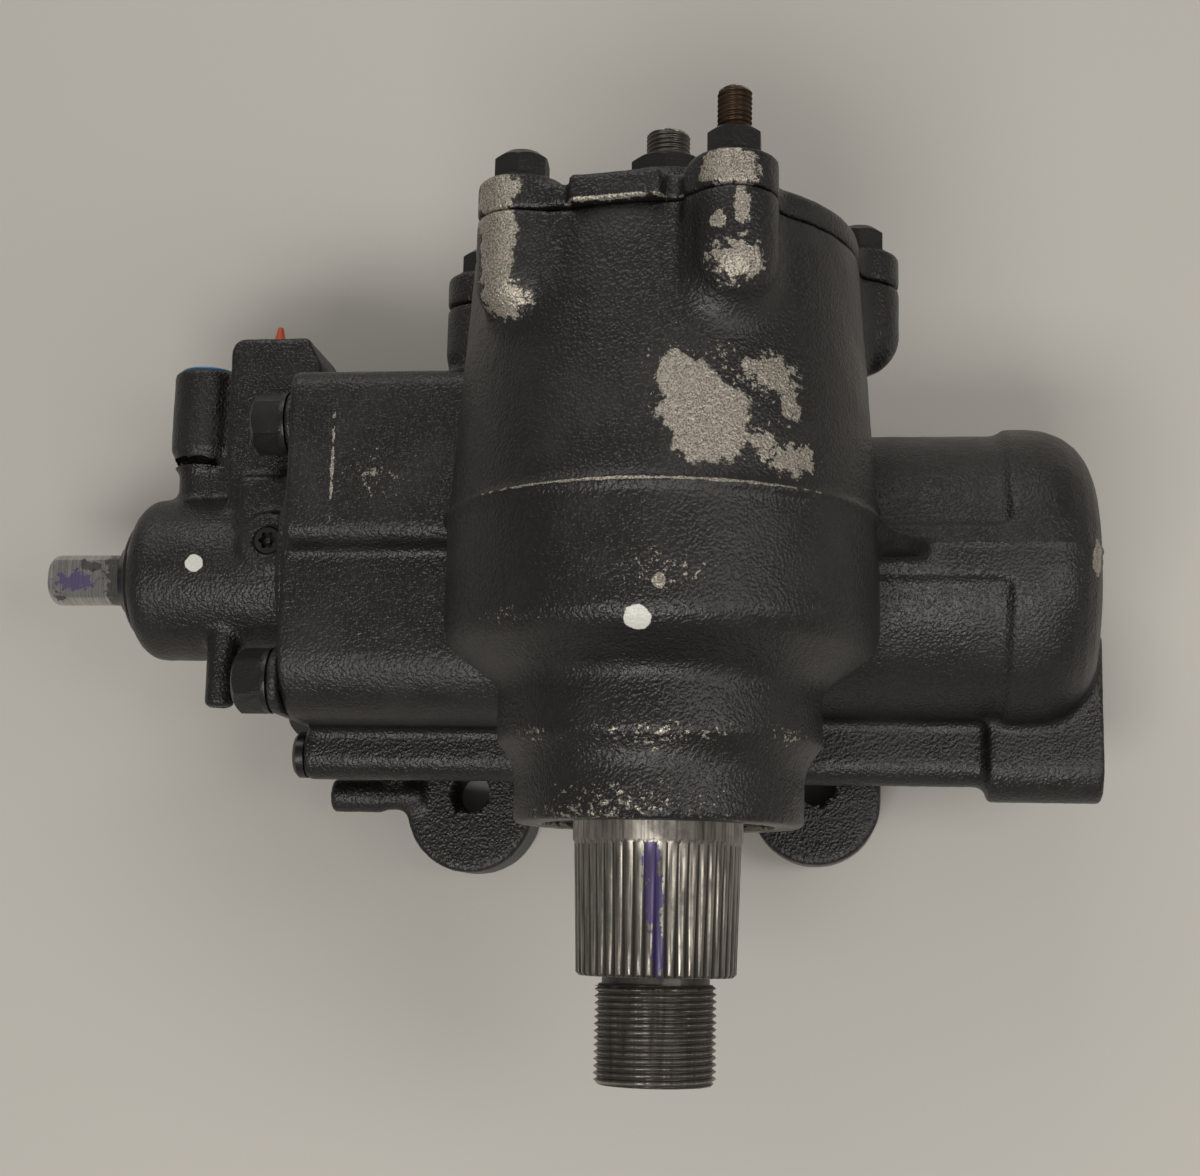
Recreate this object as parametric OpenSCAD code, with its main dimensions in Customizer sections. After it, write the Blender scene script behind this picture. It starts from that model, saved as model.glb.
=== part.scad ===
// Integral power steering gear: recirculating-ball worm, rack piston and sector output shaft.
// The gear lies on its three frame pads. The origin is the left frame hole at the mounting face.
// Within the gear, X runs along the worm towards the closed end and Y along the sector shaft to the cover.

/* [Gear geometry] */
// Height of the worm axis above the mounting face
worm_height = 58; // [56:0.5:62]
// Distance from the worm axis to the sector shaft axis
centre_distance = 72; // [71:0.5:74]
// Module of the rack and sector teeth
tooth_module = 7; // [6.5:0.25:7.25]
// Face width of the sector teeth
sector_width = 44; // [36:1:50]
// Radius of the ball centres around the worm
ball_track_r = 14; // [13.5:0.25:14.5]
// Diameter of a recirculating ball
ball_d = 6.8; // [6:0.1:7]

/* [Cylinder and piston] */
// Bore of the power cylinder
bore_d = 84; // [82:0.5:85]
// Outer diameter of the cylinder at its closed end
cylinder_d = 101; // [99:0.5:106]
// Depth of the cast panels in the side of the cylinder
panel_depth = 2; // [1.5:0.25:3.5]
// Distance from the sector axis to the outside of the closed end
closed_end_x = 138; // [137.5:0.5:146]
// Thickness of the closed end
end_wall = 8; // [7:0.5:9]
// Length of the rack piston
piston_l = 160.5; // [160:0.5:162]

/* [Sector chamber] */
// Outer diameter of the sector chamber
chamber_d = 132; // [128:1:138]
// Diameter of the chamber and the cover at their seam
seam_d = 120; // [118:1:126]
// Diameter of the sector cavity
cavity_d = 100; // [99:0.5:102]
// Distance from the worm axis to the side cover seam
seam_y = 86; // [84:1:92]
// Distance from the worm axis to the output boss face
boss_y = 88; // [86:1:94]
// Diameter of the output boss at its face
boss_d = 87; // [84:1:92]
// Diameter of the neck between the boss and the chamber
neck_d = 98; // [95:1:104]

/* [Output shaft] */
// Diameter of the sector shaft's journals
journal_d = 51; // [50.5:0.5:53]
// Large diameter of the serrated taper
serration_d = 50; // [46:0.5:50.5]
// Length of the serrated taper
serration_l = 39; // [32:1:46]
// Number of serrations
serrations = 48; // [36:4:60]
// Diameter of the nut thread
thread_d = 36; // [33:0.5:39]
// Length of the nut thread
thread_l = 28; // [24:1:36]

/* [Side cover] */
// Thickness of the cover's rim
cover_t = 8.5; // [7:0.5:12]
// Thread diameter of the cover bolts
cover_bolt_d = 10; // [8:0.5:11]
// Length of a cover bolt below its head
cover_bolt_l = 32; // [28:1:33]
// Diameter of the ears and bosses round the cover bolts
cover_ear_d = 25.5; // [24.5:0.5:28]
// Diameter of the adjuster screw
adjuster_d = 14; // [12:0.5:15]
// Width across the flats of the adjuster lock nut
lock_nut_af = 22; // [20:0.5:24]

/* [Valve] */
// Distance from the sector axis to the valve housing seam
seam_x = 128; // [127:0.5:134]
// Length of the valve housing from its seam
valve_l = 62; // [61:0.5:68]
// Diameter of the valve housing's round body
valve_d = 57; // [55:0.5:60]
// Outer diameter of the valve sleeve
sleeve_d = 42.5; // [41:0.5:44]
// Diameter of the spool on the input shaft
spool_d = 28; // [26:0.5:29]
// Diameter of the input shaft's free end
input_d = 18; // [17:0.25:19]
// Width across the two flats of the input shaft
input_flats = 13; // [12:0.25:15]
// Length of the input shaft outside the dust seal
input_reach = 27.5; // [22:0.5:34]
// Thread diameter of the valve housing bolts
valve_bolt_d = 12; // [10:0.5:13]

/* [Oil ports] */
// Minor diameter of the pressure port's thread
pressure_port_d = 16; // [14:0.5:17]
// Minor diameter of the return port's thread
return_port_d = 14; // [12:0.5:15]
// Depth of the pressure port's thread
pressure_port_l = 15; // [12:0.5:18]
// Depth of the return port's thread
return_port_l = 10; // [8:0.5:12]

/* [Mounting] */
// Distance from the left frame hole to the sector axis, along the worm
left_hole_x = 77.5; // [75:0.5:82]
// Distance from the left frame hole to the worm axis, along the sector shaft
left_hole_y = 71.5; // [70:0.5:75]
// Distance from the right frame hole to the sector axis, along the worm
right_hole_x = 46; // [43:0.5:50]
// Distance from the right frame hole to the worm axis, along the sector shaft
right_hole_y = 67; // [65:0.5:70]
// Distance from the upper frame hole to the worm axis, along the sector shaft
upper_hole_y = 70; // [68:0.5:74]
// Minor diameter of the tapped frame holes
frame_hole_d = 14.5; // [12:0.5:17]
// Diameter of the round end of a frame pad
pad_d = 46; // [42:1:50]
// Thickness of a frame pad
pad_t = 24; // [20:0.5:27]

/* [Hidden] */
$fn = 64;

// Clearances: running fit, slip fit, free space between pieces, and the overrun of a cut
run_gap = 0.05;
slip_gap = 0.1;
free_gap = 0.3;
cut = 1;

// Axes and gear pair
sector_z = worm_height + centre_distance;
sector_teeth = 12;
pressure_angle = 25;
pitch_r = tooth_module * sector_teeth / 2;
backlash = 0.4;
tip_r = pitch_r + tooth_module * 0.95;
root_r = pitch_r - tooth_module * 1.25;
base_r = pitch_r * cos(pressure_angle);
tooth_step = 360 / sector_teeth;
rack_pitch = PI * tooth_module;
rack_pitch_h = centre_distance - pitch_r;
rack_top_h = rack_pitch_h + tooth_module;
rack_root_h = centre_distance - tip_r - 1;
worm_turns_per_swing = 16;
lead = 2 * PI * pitch_r / worm_turns_per_swing;

// Radii from the driving diameters
bore_r = bore_d / 2;
cylinder_r = cylinder_d / 2;
chamber_r = chamber_d / 2;
cavity_r = cavity_d / 2;
seam_r = seam_d / 2;
boss_r = boss_d / 2;
neck_r = neck_d / 2;
journal_r = journal_d / 2;
ear_r = cover_ear_d / 2;
sleeve_r = sleeve_d / 2;
spool_r = spool_d / 2;
input_r = input_d / 2;
valve_r = valve_d / 2;
pad_r = pad_d / 2;
ball_r = ball_d / 2;

// Housing form along the sector shaft
waist_h = 12;
waist_l = 12;
neck_l = 38;
bevel = 1;
waist_y = -boss_y + waist_l;
neck_top_y = -boss_y + neck_l;
parting_y = 3;
ridge = 1.5;
cavity_floor_y = -sector_width / 2 - 8;
shoulder_slope = 35;
shoulder_in_r = 7;
shoulder_out_r = 9;

// Output mouth: seals, snap ring and lower bearing, from the boss face inwards
mouth_r = journal_r + 9.5;
snap_groove_depth = 1.8;
snap_t = 1.6;
snap_y = -boss_y + 1.8;
dust_seal_y = snap_y + snap_t + free_gap;
dust_seal_t = 3.4;
oil_seal_y = dust_seal_y + dust_seal_t + free_gap;
oil_seal_t = 8;
lower_bearing_y = oil_seal_y + oil_seal_t + free_gap;
lower_bearing_l = 28;
needle_r = 1.5;
bearing_shell_t = 2.5;
lower_bearing_r = journal_r + 2 * needle_r + bearing_shell_t + 2 * run_gap;

// Side cover and adjuster
pilot_l = 8;
pilot_groove_depth = 3;
ring_w = 3;
cover_top_y = seam_y + cover_t;
ear_rise = 2.5;
ear_top_y = cover_top_y + ear_rise;
ear_web_w = 22;
ear_web_r = 52;
cover_boss_r = 19;
cover_flat_r = 46;
cover_boss_top_y = cover_top_y + 19.5;
cover_inner_r = 34;
cover_inner_y = 46;
upper_journal_r = journal_r - 1.5;
bushing_t = 3;
sector_top_y = seam_y - 8;
adjuster_head_r = adjuster_d / 2 + 1.7;
adjuster_head_t = 4.5;
retainer_t = 6;
adjuster_pocket_y = sector_top_y - retainer_t - adjuster_head_t - 2 * free_gap;
lock_nut_t = 8;
adjuster_socket_r = 3;
adjuster_socket_l = 5;
adjuster_top_y = cover_boss_top_y + lock_nut_t + 9;
bolt_af_ratio = 1.5;
bolt_head_ratio = 1;
bolt_flange_t = 1.5;
bolt_flange_ratio = 0.95;
cover_bolt_places = [[-39.5, 44], [60.5, -24], [-64.5, -38]];
stud_place = [24, 58.5];
cover_bolt_all = concat(cover_bolt_places, [stud_place]);
front_boss_y = seam_y - 31.5;
rear_boss_y = seam_y - 28;
stud_l = 12;
tab_w = 27;
tab_reach = 3;
tab_turn = -9;

// Cylinder, flange block and gallery
panel_x = closed_end_x - 31.5;
end_round = 21;
rib_y0 = -7.5;
rib_h = 16;
gusset_t = 5;
gusset_reach = 17;
gusset_rise = 10;
block_low_y = 2;
block_top_y = 62;
block_front = 54;
block_back = 44;
block_round = 8;
block_set_back = 2.5;
lower_block_y0 = -52;
lower_block_y1 = 40;
lower_block_half = 46.5;
lower_block_round = 22;
gallery_y = -61;
gallery_z = 52;
gallery_r = 8.5;
gallery_plug_r = 8;
gallery_plug_t = 4.5;
gallery_plug_l = 12;
gallery_over = 2;
gallery_bore_r = 4.5;
end_block_x0 = closed_end_x - 35;
end_block_over = 2.5;
end_block_r = 13.5;
side_boss_y = gallery_y - 12;
side_boss_z = 22;
side_boss_r = 6;
side_boss_l = 18;
side_neck_l = 15;
side_bore_r = 3;
side_plug_l = 8;
side_web_t = 8;
wall_y = -20;
pad_shift = 5.5;
frame_hole_depth = pad_t + 2;

// Rack piston and ball circuit
piston_gap = 0.2;
piston_r = bore_r - piston_gap;
piston_x0 = -66;
piston_x1 = piston_x0 + piston_l;
nut_bore_r = ball_track_r + ball_r + slip_gap;
piston_end_t = 8;
piston_bevel = 1.5;
piston_plug_r = 10;
piston_socket_r = 4;
piston_socket_l = 4;
ring_groove_depth = 4;
rack_half_l = 2.5 * rack_pitch;
ring_x0 = piston_x1 - 16;
circuit_turns = 1.2;
circuit_balls = 29;
guide_r = ball_r + 1;
guide_h = nut_bore_r + 13;
guide_reach = circuit_turns * lead;
pocket_h = guide_h - guide_r - 0.5;
pocket_w = 30;
pocket_margin = 9;
clamp_t = 1.5;
clamp_w = 12;
clamp_h = guide_h + guide_r + slip_gap;
screw_r = 2;
screw_y = 9;
screw_head_r = 3.4;
screw_head_t = 2.2;
screw_l = 10;

// Worm, its bearing and the rotary valve
worm_r = ball_track_r + 2.5;
groove_r = ball_r + 0.6;
worm_x0 = -60;
worm_x1 = 52.5;
spigot_l = 22;
valve_x0 = -seam_x - valve_l;
bearing_x0 = -seam_x + 6;
bearing_w = 11;
worm_head_r = 20.5;
race_t = 3.5;
bearing_ball_r = 3;
bearing_pitch_r = worm_head_r + race_t + bearing_ball_r - 0.4;
bearing_out_r = bearing_pitch_r + bearing_ball_r - 0.4 + race_t;
bearing_groove_r = bearing_ball_r + slip_gap;
bearing_balls = 18;
lock_ring_t = 4.5;
worm_shoulder_t = 3;
worm_shoulder_h = 2.5;
worm_neck_l = 8;
worm_head_x = -seam_x - 1.5;
sleeve_x1 = worm_head_x - free_gap;
sleeve_l = 38;
sleeve_x0 = sleeve_x1 - sleeve_l;
sleeve_ring_x = sleeve_x0 + 3;
sleeve_port_x = sleeve_x0 + 8.5;
sleeve_port_r = 1.8;
sleeve_ring_w = 2;
sleeve_ring_step = 9;
sleeve_ring_depth = 1.4;
drive_pin_r = 1.5;
drive_pin_l = 8;
drive_pin_offset = (spool_r + sleeve_r) / 2;
tang_r = 9;
tang_l = 12;
bar_r = 3.5;
bar_x0 = valve_x0 - 5;
bar_x1 = -64;
input_journal_r = input_r + 1;
needle_bearing_l = 6;
needle_bearing_t = 4;
input_bearing_x = valve_x0 + 8;
lip_seal_t = 5;
lip_seal_x = input_bearing_x - free_gap - lip_seal_t;
seal_bore_r = input_journal_r + 6;
input_snap_t = 1.2;
input_snap_in = 3;
input_snap_out = 1.2;
input_snap_x = lip_seal_x - free_gap - input_snap_t;
dust_cap_t = 7;
dust_cap_r = 21.5;
valve_end_round = 8;
input_x0 = valve_x0 - dust_cap_t - input_reach;
valve_flange_t = 3;
valve_bolt_places = [[48, 33], [-40, 34], [48, -31], [-40, -34]];
valve_bolt_grip = 22;
valve_head_af = 19;
valve_head_t = 12;
valve_washer_t = 2;
valve_ear_r = 11;
valve_ear_t = [2.5, 4, 2.5, 4];
valve_spacer_r = 8.5;

// Port arm of the valve housing
arm_x0 = -seam_x - 29.5;
arm_top_x = -seam_x - 2;
arm_over = 3;
arm_slope = 9.5;
arm_round = 5;
arm_top_y = 83;
arm_front = 20;
arm_back = 18;
foot_x0 = -seam_x - 22;
foot_top_y = 32;
foot_front = 26;
pressure_port_x = -seam_x - 18;
return_port_x = valve_x0 + 18.5;
return_port_top_y = 75;
return_boss_r = return_port_d / 2 + 5;
return_boss_l = 29;
return_neck_r = return_boss_r - 3.5;
return_web_t = 13;
return_web_top_y = return_port_top_y - 8;
pressure_counterbore = 5;
return_counterbore = 2;
port_rim = 2.5;
plug_gap = 0.3;
plug_flange_t = 0.8;
plug_flange_over = 0.6;
plug_tip_taper = 0.4;
pressure_tip_r = 2;
pressure_tip_h = 3;
return_tip_r = 6;
return_tip_h = 1.2;
seat_l = 4;
seat_step = 2;
seat_hole_r = 2.5;
star_x = -seam_x - 10;
star_y = 8.5;
star_boss_r = 9.5;
star_front = 30;
star_plug_r = 5;
star_plug_l = 6;
lug_x = -seam_x - 28;
lug_z = worm_height + 16;
lug_y0 = -47;
lug_y1 = -14;
lug_r = 5;
lug_hole_r = 2.5;
lug_hole_l = 9;

module gear_frame() translate([left_hole_x, left_hole_y, 0]) children();
module rod_x(x0, x1, r, y = 0, z = worm_height)
    translate([x0, y, z]) rotate([0, 90, 0]) cylinder(h = x1 - x0, r = r);
module rod_y(y0, y1, r, x = 0, z = sector_z)
    translate([x, y0, z]) rotate([-90, 0, 0]) cylinder(h = y1 - y0, r = r);
module rod_z(z0, z1, r, x = 0, y = 0) translate([x, y, z0]) cylinder(h = z1 - z0, r = r);
module turned_x() translate([0, 0, worm_height]) rotate([0, 90, 0]) rotate_extrude() children();
module turned_y() translate([0, 0, sector_z]) rotate([-90, 0, 0]) rotate_extrude() children();
module ring_x(x0, x1, r_in, r_out) turned_x() translate([r_in, x0]) square([r_out - r_in, x1 - x0]);
module ring_y(y0, y1, r_in, r_out) turned_y() translate([r_in, y0]) square([r_out - r_in, y1 - y0]);
module hex_y(y0, h, af, x, z)
    translate([x, y0, z]) rotate([-90, 0, 0]) cylinder(h = h, r = af / 2 / cos(30), $fn = 6);
module hex_x(x0, h, af, y, z)
    translate([x0, y, z]) rotate([0, 90, 0]) cylinder(h = h, r = af / 2 / cos(30), $fn = 6);

// Bar along X with a rounded rectangular section in the YZ plane
module round_bar(x0, x1, y0, y1, z0, z1, r) {
    translate([x0, y0 + r, z0]) cube([x1 - x0, y1 - y0 - 2 * r, z1 - z0]);
    translate([x0, y0, z0 + r]) cube([x1 - x0, y1 - y0, z1 - z0 - 2 * r]);
    for (y = [y0 + r, y1 - r], z = [z0 + r, z1 - r]) rod_x(x0, x1, r, y, z);
}

function arc(cx, cy, r, a0, a1, n = 6) =
    [for (i = [0:n]) let (a = a0 + (a1 - a0) * i / n) [cx + r * cos(a), cy + r * sin(a)]];

// Housing outline along the sector shaft: boss, waist, neck, shoulder, chamber with its parting ridge
waist_angle = 2 * atan((neck_r - boss_r) / waist_h);
waist_r = waist_h / sin(waist_angle);
shoulder_turn = 90 - shoulder_slope;
shoulder_run = chamber_r - neck_r - (shoulder_in_r + shoulder_out_r) * (1 - cos(shoulder_turn));
shoulder_rise = shoulder_run * tan(shoulder_slope) + (shoulder_in_r + shoulder_out_r) * sin(shoulder_turn);
chamber_y = neck_top_y + shoulder_rise;
chamber_outline = concat(
    [[0, -boss_y], [boss_r - bevel, -boss_y], [boss_r, -boss_y + bevel]],
    arc(boss_r + waist_r, waist_y, waist_r, 180, 180 - waist_angle),
    arc(neck_r + shoulder_in_r, neck_top_y, shoulder_in_r, 180, 180 - shoulder_turn),
    arc(chamber_r - shoulder_out_r, chamber_y, shoulder_out_r, -shoulder_turn, 0),
    [[chamber_r, parting_y - ridge], [chamber_r + ridge, parting_y], [chamber_r - ridge / 4, parting_y + ridge]],
    [[seam_r, seam_y], [0, seam_y]]);

// Web from the chamber or the cover's rim out to a bolt's place
module ear_web(place, y0, y1) translate([0, y0, sector_z]) rotate([0, atan2(place[0], place[1]), 0])
    translate([-ear_web_w / 2, 0, ear_web_r]) cube([ear_web_w, y1 - y0, norm(place) - ear_web_r]);

// Boss for a cover bolt, with a round lower end
module bolt_boss(place, y0) {
    ear_web(place, y0 + ear_r, seam_y - free_gap);
    rod_y(y0 + ear_r, seam_y, ear_r, place[0], sector_z + place[1]);
    translate([place[0], y0 + ear_r, sector_z + place[1]]) sphere(r = ear_r);
}

// Frame pad: a plate with a round end that reaches from the casting past its hole
module frame_pad(x, y, side) linear_extrude(pad_t) {
    translate([x, side * (y + pad_shift)]) circle(r = pad_r);
    translate([x - pad_r, side > 0 ? -wall_y : -y - pad_shift]) square([2 * pad_r, y + pad_shift + wall_y]);
}

// Half-round bar along the cylinder's side, joined to its wall
module wall_bar(x0, x1, r) {
    rod_x(x0, x1, r, gallery_y, gallery_z);
    translate([x0, gallery_y, gallery_z - r]) cube([x1 - x0, wall_y - gallery_y, 2 * r]);
}

module housing_outside() {
    turned_y() polygon(chamber_outline);
    for (p = cover_bolt_all) bolt_boss(p, p[1] > 0 ? front_boss_y : rear_boss_y);
    // Cylinder with cast panels, a full-size end with a rounded corner, and a rib between the panels
    turned_x() polygon(concat([[0, 0], [cylinder_r - panel_depth, 0], [cylinder_r - panel_depth, panel_x]],
        [[cylinder_r, panel_x + panel_depth]],
        arc(cylinder_r - end_round, closed_end_x - end_round, end_round, 0, 90), [[0, closed_end_x]]));
    intersection() {
        rod_x(0, panel_x + panel_depth, cylinder_r);
        translate([0, rib_y0, 0]) cube([closed_end_x, rib_h, 2 * worm_height]);
    }
    // Flange block: a stepped upper half and a rounder lower half
    round_bar(-seam_x + block_set_back, 0, block_low_y, block_top_y, worm_height - block_back,
        worm_height + block_front, block_round);
    round_bar(-seam_x, 0, lower_block_y0, lower_block_y1, worm_height - lower_block_half,
        worm_height + lower_block_half, lower_block_round);
    // Oil gallery, end block and a plugged side boss along the lower edge
    wall_bar(-seam_x, panel_x, gallery_r);
    rod_x(-seam_x - gallery_over, panel_x, gallery_r, gallery_y, gallery_z);
    wall_bar(end_block_x0, closed_end_x + end_block_over, end_block_r);
    rod_x(-seam_x, -seam_x + side_boss_l, side_boss_r, side_boss_y, side_boss_z);
    rod_x(-seam_x, -seam_x + side_boss_l + side_neck_l, side_boss_r - 1, side_boss_y, side_boss_z);
    translate([-seam_x + side_boss_l, side_boss_y, side_boss_z - side_web_t / 2])
        cube([side_web_t, wall_y - side_boss_y, side_web_t]);
    // Gusset at the parting line, from the chamber down to the cylinder
    translate([0, parting_y, 0]) rotate([90, 0, 0]) linear_extrude(gusset_t) polygon([[0, worm_height],
        [chamber_r + gusset_reach, worm_height], [chamber_r + gusset_reach, worm_height + cylinder_r - 1],
        [chamber_r, sector_z + gusset_rise], [0, sector_z + gusset_rise]]);
    frame_pad(-left_hole_x, left_hole_y, -1);
    frame_pad(right_hole_x, right_hole_y, -1);
    frame_pad(0, upper_hole_y, 1);
}

module housing_inside() {
    rod_x(-seam_x - cut, closed_end_x - end_wall, bore_r);
    rod_y(cavity_floor_y, seam_y + cut, cavity_r);
    rod_y(-boss_y - cut, cavity_floor_y + cut, journal_r + 1.5);
    rod_y(-boss_y - cut, lower_bearing_y, mouth_r);
    rod_y(-boss_y - cut, lower_bearing_y + lower_bearing_l + free_gap, lower_bearing_r + run_gap);
    rod_y(snap_y - slip_gap, snap_y + snap_t + slip_gap, mouth_r + snap_groove_depth);
    for (p = cover_bolt_all)
        rod_y(ear_top_y - cover_bolt_l - 3, seam_y + cut, cover_bolt_d / 2 + slip_gap, p[0], sector_z + p[1]);
    for (p = valve_bolt_places)
        rod_x(-seam_x - cut, -seam_x + valve_bolt_grip + 2, valve_bolt_d / 2 + slip_gap, p[0], worm_height + p[1]);
    // Frame holes, tapped from the mounting face
    rod_z(-cut, frame_hole_depth, frame_hole_d / 2, -left_hole_x, -left_hole_y);
    rod_z(-cut, frame_hole_depth, frame_hole_d / 2, right_hole_x, -right_hole_y);
    rod_z(-cut, frame_hole_depth, frame_hole_d / 2, 0, upper_hole_y);
    // Gallery drilling and the side boss drilling, open at the plugged end
    rod_x(-seam_x - gallery_over - cut, panel_x - gallery_plug_l, gallery_bore_r, gallery_y, gallery_z);
    rod_x(-seam_x - cut, -seam_x + side_boss_l, side_bore_r, side_boss_y, side_boss_z);
}

module gear_housing() color("#202122") gear_frame() difference() {
    housing_outside();
    housing_inside();
}

module side_cover() color("#242526") gear_frame() difference() {
    union() {
        turned_y() polygon(concat(
            [[0, seam_y], [seam_r, seam_y], [seam_r, cover_top_y - 2], [seam_r - 2, cover_top_y]],
            [[cover_flat_r, cover_top_y], [cover_boss_r + 14, cover_top_y + 4]],
            arc(cover_boss_r + 8, cover_boss_top_y - 2, 8, 270, 180), [[cover_boss_r - 1, cover_boss_top_y]],
            [[0, cover_boss_top_y]]));
        for (p = cover_bolt_all) {
            rod_y(seam_y, ear_top_y, ear_r, p[0], sector_z + p[1]);
            ear_web(p, seam_y + free_gap, cover_top_y - free_gap);
        }
        translate([0, seam_y, sector_z]) rotate([0, tab_turn, 0])
            translate([-tab_w / 2, 0, 0]) cube([tab_w, cover_t, seam_r + tab_reach]);
        rod_y(seam_y - pilot_l, seam_y, cavity_r - slip_gap);
        rod_y(cover_inner_y, seam_y, cover_inner_r);
    }
    rod_y(cover_inner_y - cut, sector_top_y + 3, upper_journal_r + bushing_t + 2 * run_gap);
    rod_y(sector_top_y, cover_boss_top_y + cut, adjuster_d / 2 + slip_gap);
    for (p = cover_bolt_all) rod_y(seam_y - cut, ear_top_y + cut, cover_bolt_d / 2 + free_gap, p[0], sector_z + p[1]);
    ring_y(seam_y - 6, seam_y - 6 + ring_w + slip_gap, cavity_r - slip_gap - pilot_groove_depth, cavity_r + cut);
}

module cover_o_ring() color("#111111") gear_frame()
    ring_y(seam_y - 6 + run_gap, seam_y - 6 + ring_w, cavity_r - pilot_groove_depth, cavity_r - run_gap);

// Hex bolt through the cover into its boss
module cover_bolt(place) {
    x = place[0];
    z = sector_z + place[1];
    rod_y(ear_top_y - cover_bolt_l, ear_top_y, cover_bolt_d / 2, x, z);
    rod_y(ear_top_y, ear_top_y + bolt_flange_t, cover_bolt_d * bolt_flange_ratio, x, z);
    hex_y(ear_top_y + bolt_flange_t, cover_bolt_d * bolt_head_ratio - bolt_flange_t, cover_bolt_d * bolt_af_ratio, x, z);
}

module cover_bolts() color("#2a2a2b") gear_frame() for (p = cover_bolt_places) cover_bolt(p);

module cover_stud_bolt() color("#2a2a2b") gear_frame() {
    cover_bolt(stud_place);
    stud_y = ear_top_y + cover_bolt_d * bolt_head_ratio;
    rod_y(stud_y, stud_y + stud_l, cover_bolt_d / 2, stud_place[0], sector_z + stud_place[1]);
}

module adjuster_screw() color("#3a3a3a") gear_frame() turned_y() polygon([
    [0, adjuster_pocket_y + free_gap], [adjuster_head_r, adjuster_pocket_y + free_gap],
    [adjuster_head_r, adjuster_pocket_y + free_gap + adjuster_head_t],
    [adjuster_d / 2, adjuster_pocket_y + free_gap + adjuster_head_t], [adjuster_d / 2, adjuster_top_y - bevel],
    [adjuster_d / 2 - bevel, adjuster_top_y], [adjuster_socket_r, adjuster_top_y],
    [adjuster_socket_r, adjuster_top_y - adjuster_socket_l], [0, adjuster_top_y - adjuster_socket_l]]);

module adjuster_lock_nut() color("#2f2f30") gear_frame() difference() {
    hex_y(cover_boss_top_y, lock_nut_t, lock_nut_af, 0, sector_z);
    rod_y(cover_boss_top_y - cut, cover_boss_top_y + lock_nut_t + cut, adjuster_d / 2 + slip_gap);
}

module cover_bushing() color("#a8843f") gear_frame()
    ring_y(cover_inner_y + 1, sector_top_y - 2, upper_journal_r + run_gap, upper_journal_r + bushing_t + run_gap);

// Needles stand side by side in a drawn shell
module lower_needle_bearing() color("#b5b7b9") gear_frame() {
    ring_y(lower_bearing_y, lower_bearing_y + lower_bearing_l, lower_bearing_r - bearing_shell_t, lower_bearing_r);
    needle_pitch_r = journal_r + needle_r + run_gap;
    needles = floor(360 / (2 * asin((needle_r + 0.4) / needle_pitch_r)));
    for (i = [0:needles - 1]) {
        a = 360 * i / needles;
        rod_y(lower_bearing_y + 2, lower_bearing_y + lower_bearing_l - 2, needle_r,
            needle_pitch_r * cos(a), sector_z + needle_pitch_r * sin(a));
    }
}

module sector_oil_seal() color("#1a1a1a") gear_frame()
    ring_y(oil_seal_y, oil_seal_y + oil_seal_t, journal_r + slip_gap, mouth_r - run_gap);

module sector_dust_seal() color("#151515") gear_frame()
    ring_y(dust_seal_y, dust_seal_y + dust_seal_t, journal_r + slip_gap, mouth_r - run_gap);

module sector_snap_ring() color("#55585a") gear_frame() difference() {
    ring_y(snap_y, snap_y + snap_t, mouth_r - 2.5, mouth_r + snap_groove_depth - slip_gap);
    translate([mouth_r - 4, snap_y - cut, sector_z - 3]) cube([8, snap_t + 2 * cut, 6]);
}

module valve_outside() {
    // Round body with a rolled rim at the input end
    turned_x() polygon(concat([[0, valve_x0]],
        arc(valve_r - valve_end_round, valve_x0 + valve_end_round, valve_end_round, 270, 360),
        [[valve_r, -seam_x], [0, -seam_x]]));
    rod_x(-seam_x - valve_flange_t, -seam_x, bore_r + 2);
    rod_x(-seam_x, -seam_x + spigot_l, bore_r - slip_gap);
    for (i = [0:3]) {
        y = valve_bolt_places[i][0];
        z = worm_height + valve_bolt_places[i][1];
        rod_x(-seam_x - valve_ear_t[i], -seam_x, valve_ear_r, y, z);
        // Spacer up to the set-back upper half of the block
        if (y > 0) rod_x(-seam_x - valve_ear_t[i], -seam_x + block_set_back, valve_spacer_r, y, z);
        // Flange plate from the ear to the middle of the housing
        translate([-seam_x - valve_ear_t[i], y - valve_ear_r, min(z, worm_height)])
            cube([valve_ear_t[i], 2 * valve_ear_r, abs(z - worm_height)]);
    }
    // Arm that carries the pressure port, with an overhang above the gear housing
    translate([0, 0, worm_height - arm_back]) linear_extrude(arm_front + arm_back) polygon(concat(
        [[arm_x0 + 4, 0], [arm_x0, arm_top_y / 2]],
        arc(arm_x0 + arm_round, arm_top_y - arm_round, arm_round, 180, 90),
        [[arm_top_x, arm_top_y], [-seam_x + arm_over, arm_top_y - arm_slope]],
        [[-seam_x + arm_over, block_top_y + 1], [-seam_x, block_top_y + 1], [-seam_x, 0]]));
    // Foot of the arm with the boss of the passage plug
    translate([foot_x0, 0, worm_height]) cube([-seam_x - foot_x0, foot_top_y, foot_front]);
    rod_z(worm_height, worm_height + star_front, star_boss_r, star_x, star_y);
    // Return port: a narrower neck under a round boss, and a web to the arm
    rod_y(0, return_port_top_y - return_boss_l, return_neck_r, return_port_x, worm_height);
    rod_y(return_port_top_y - return_boss_l, return_port_top_y, return_boss_r, return_port_x, worm_height);
    translate([return_port_x, 0, worm_height - return_web_t / 2])
        cube([arm_x0 + arm_round - return_port_x, return_web_top_y, return_web_t]);
    // Small lug below the round body
    rod_y(lug_y0, lug_y1, lug_r, lug_x, lug_z);
}

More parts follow.
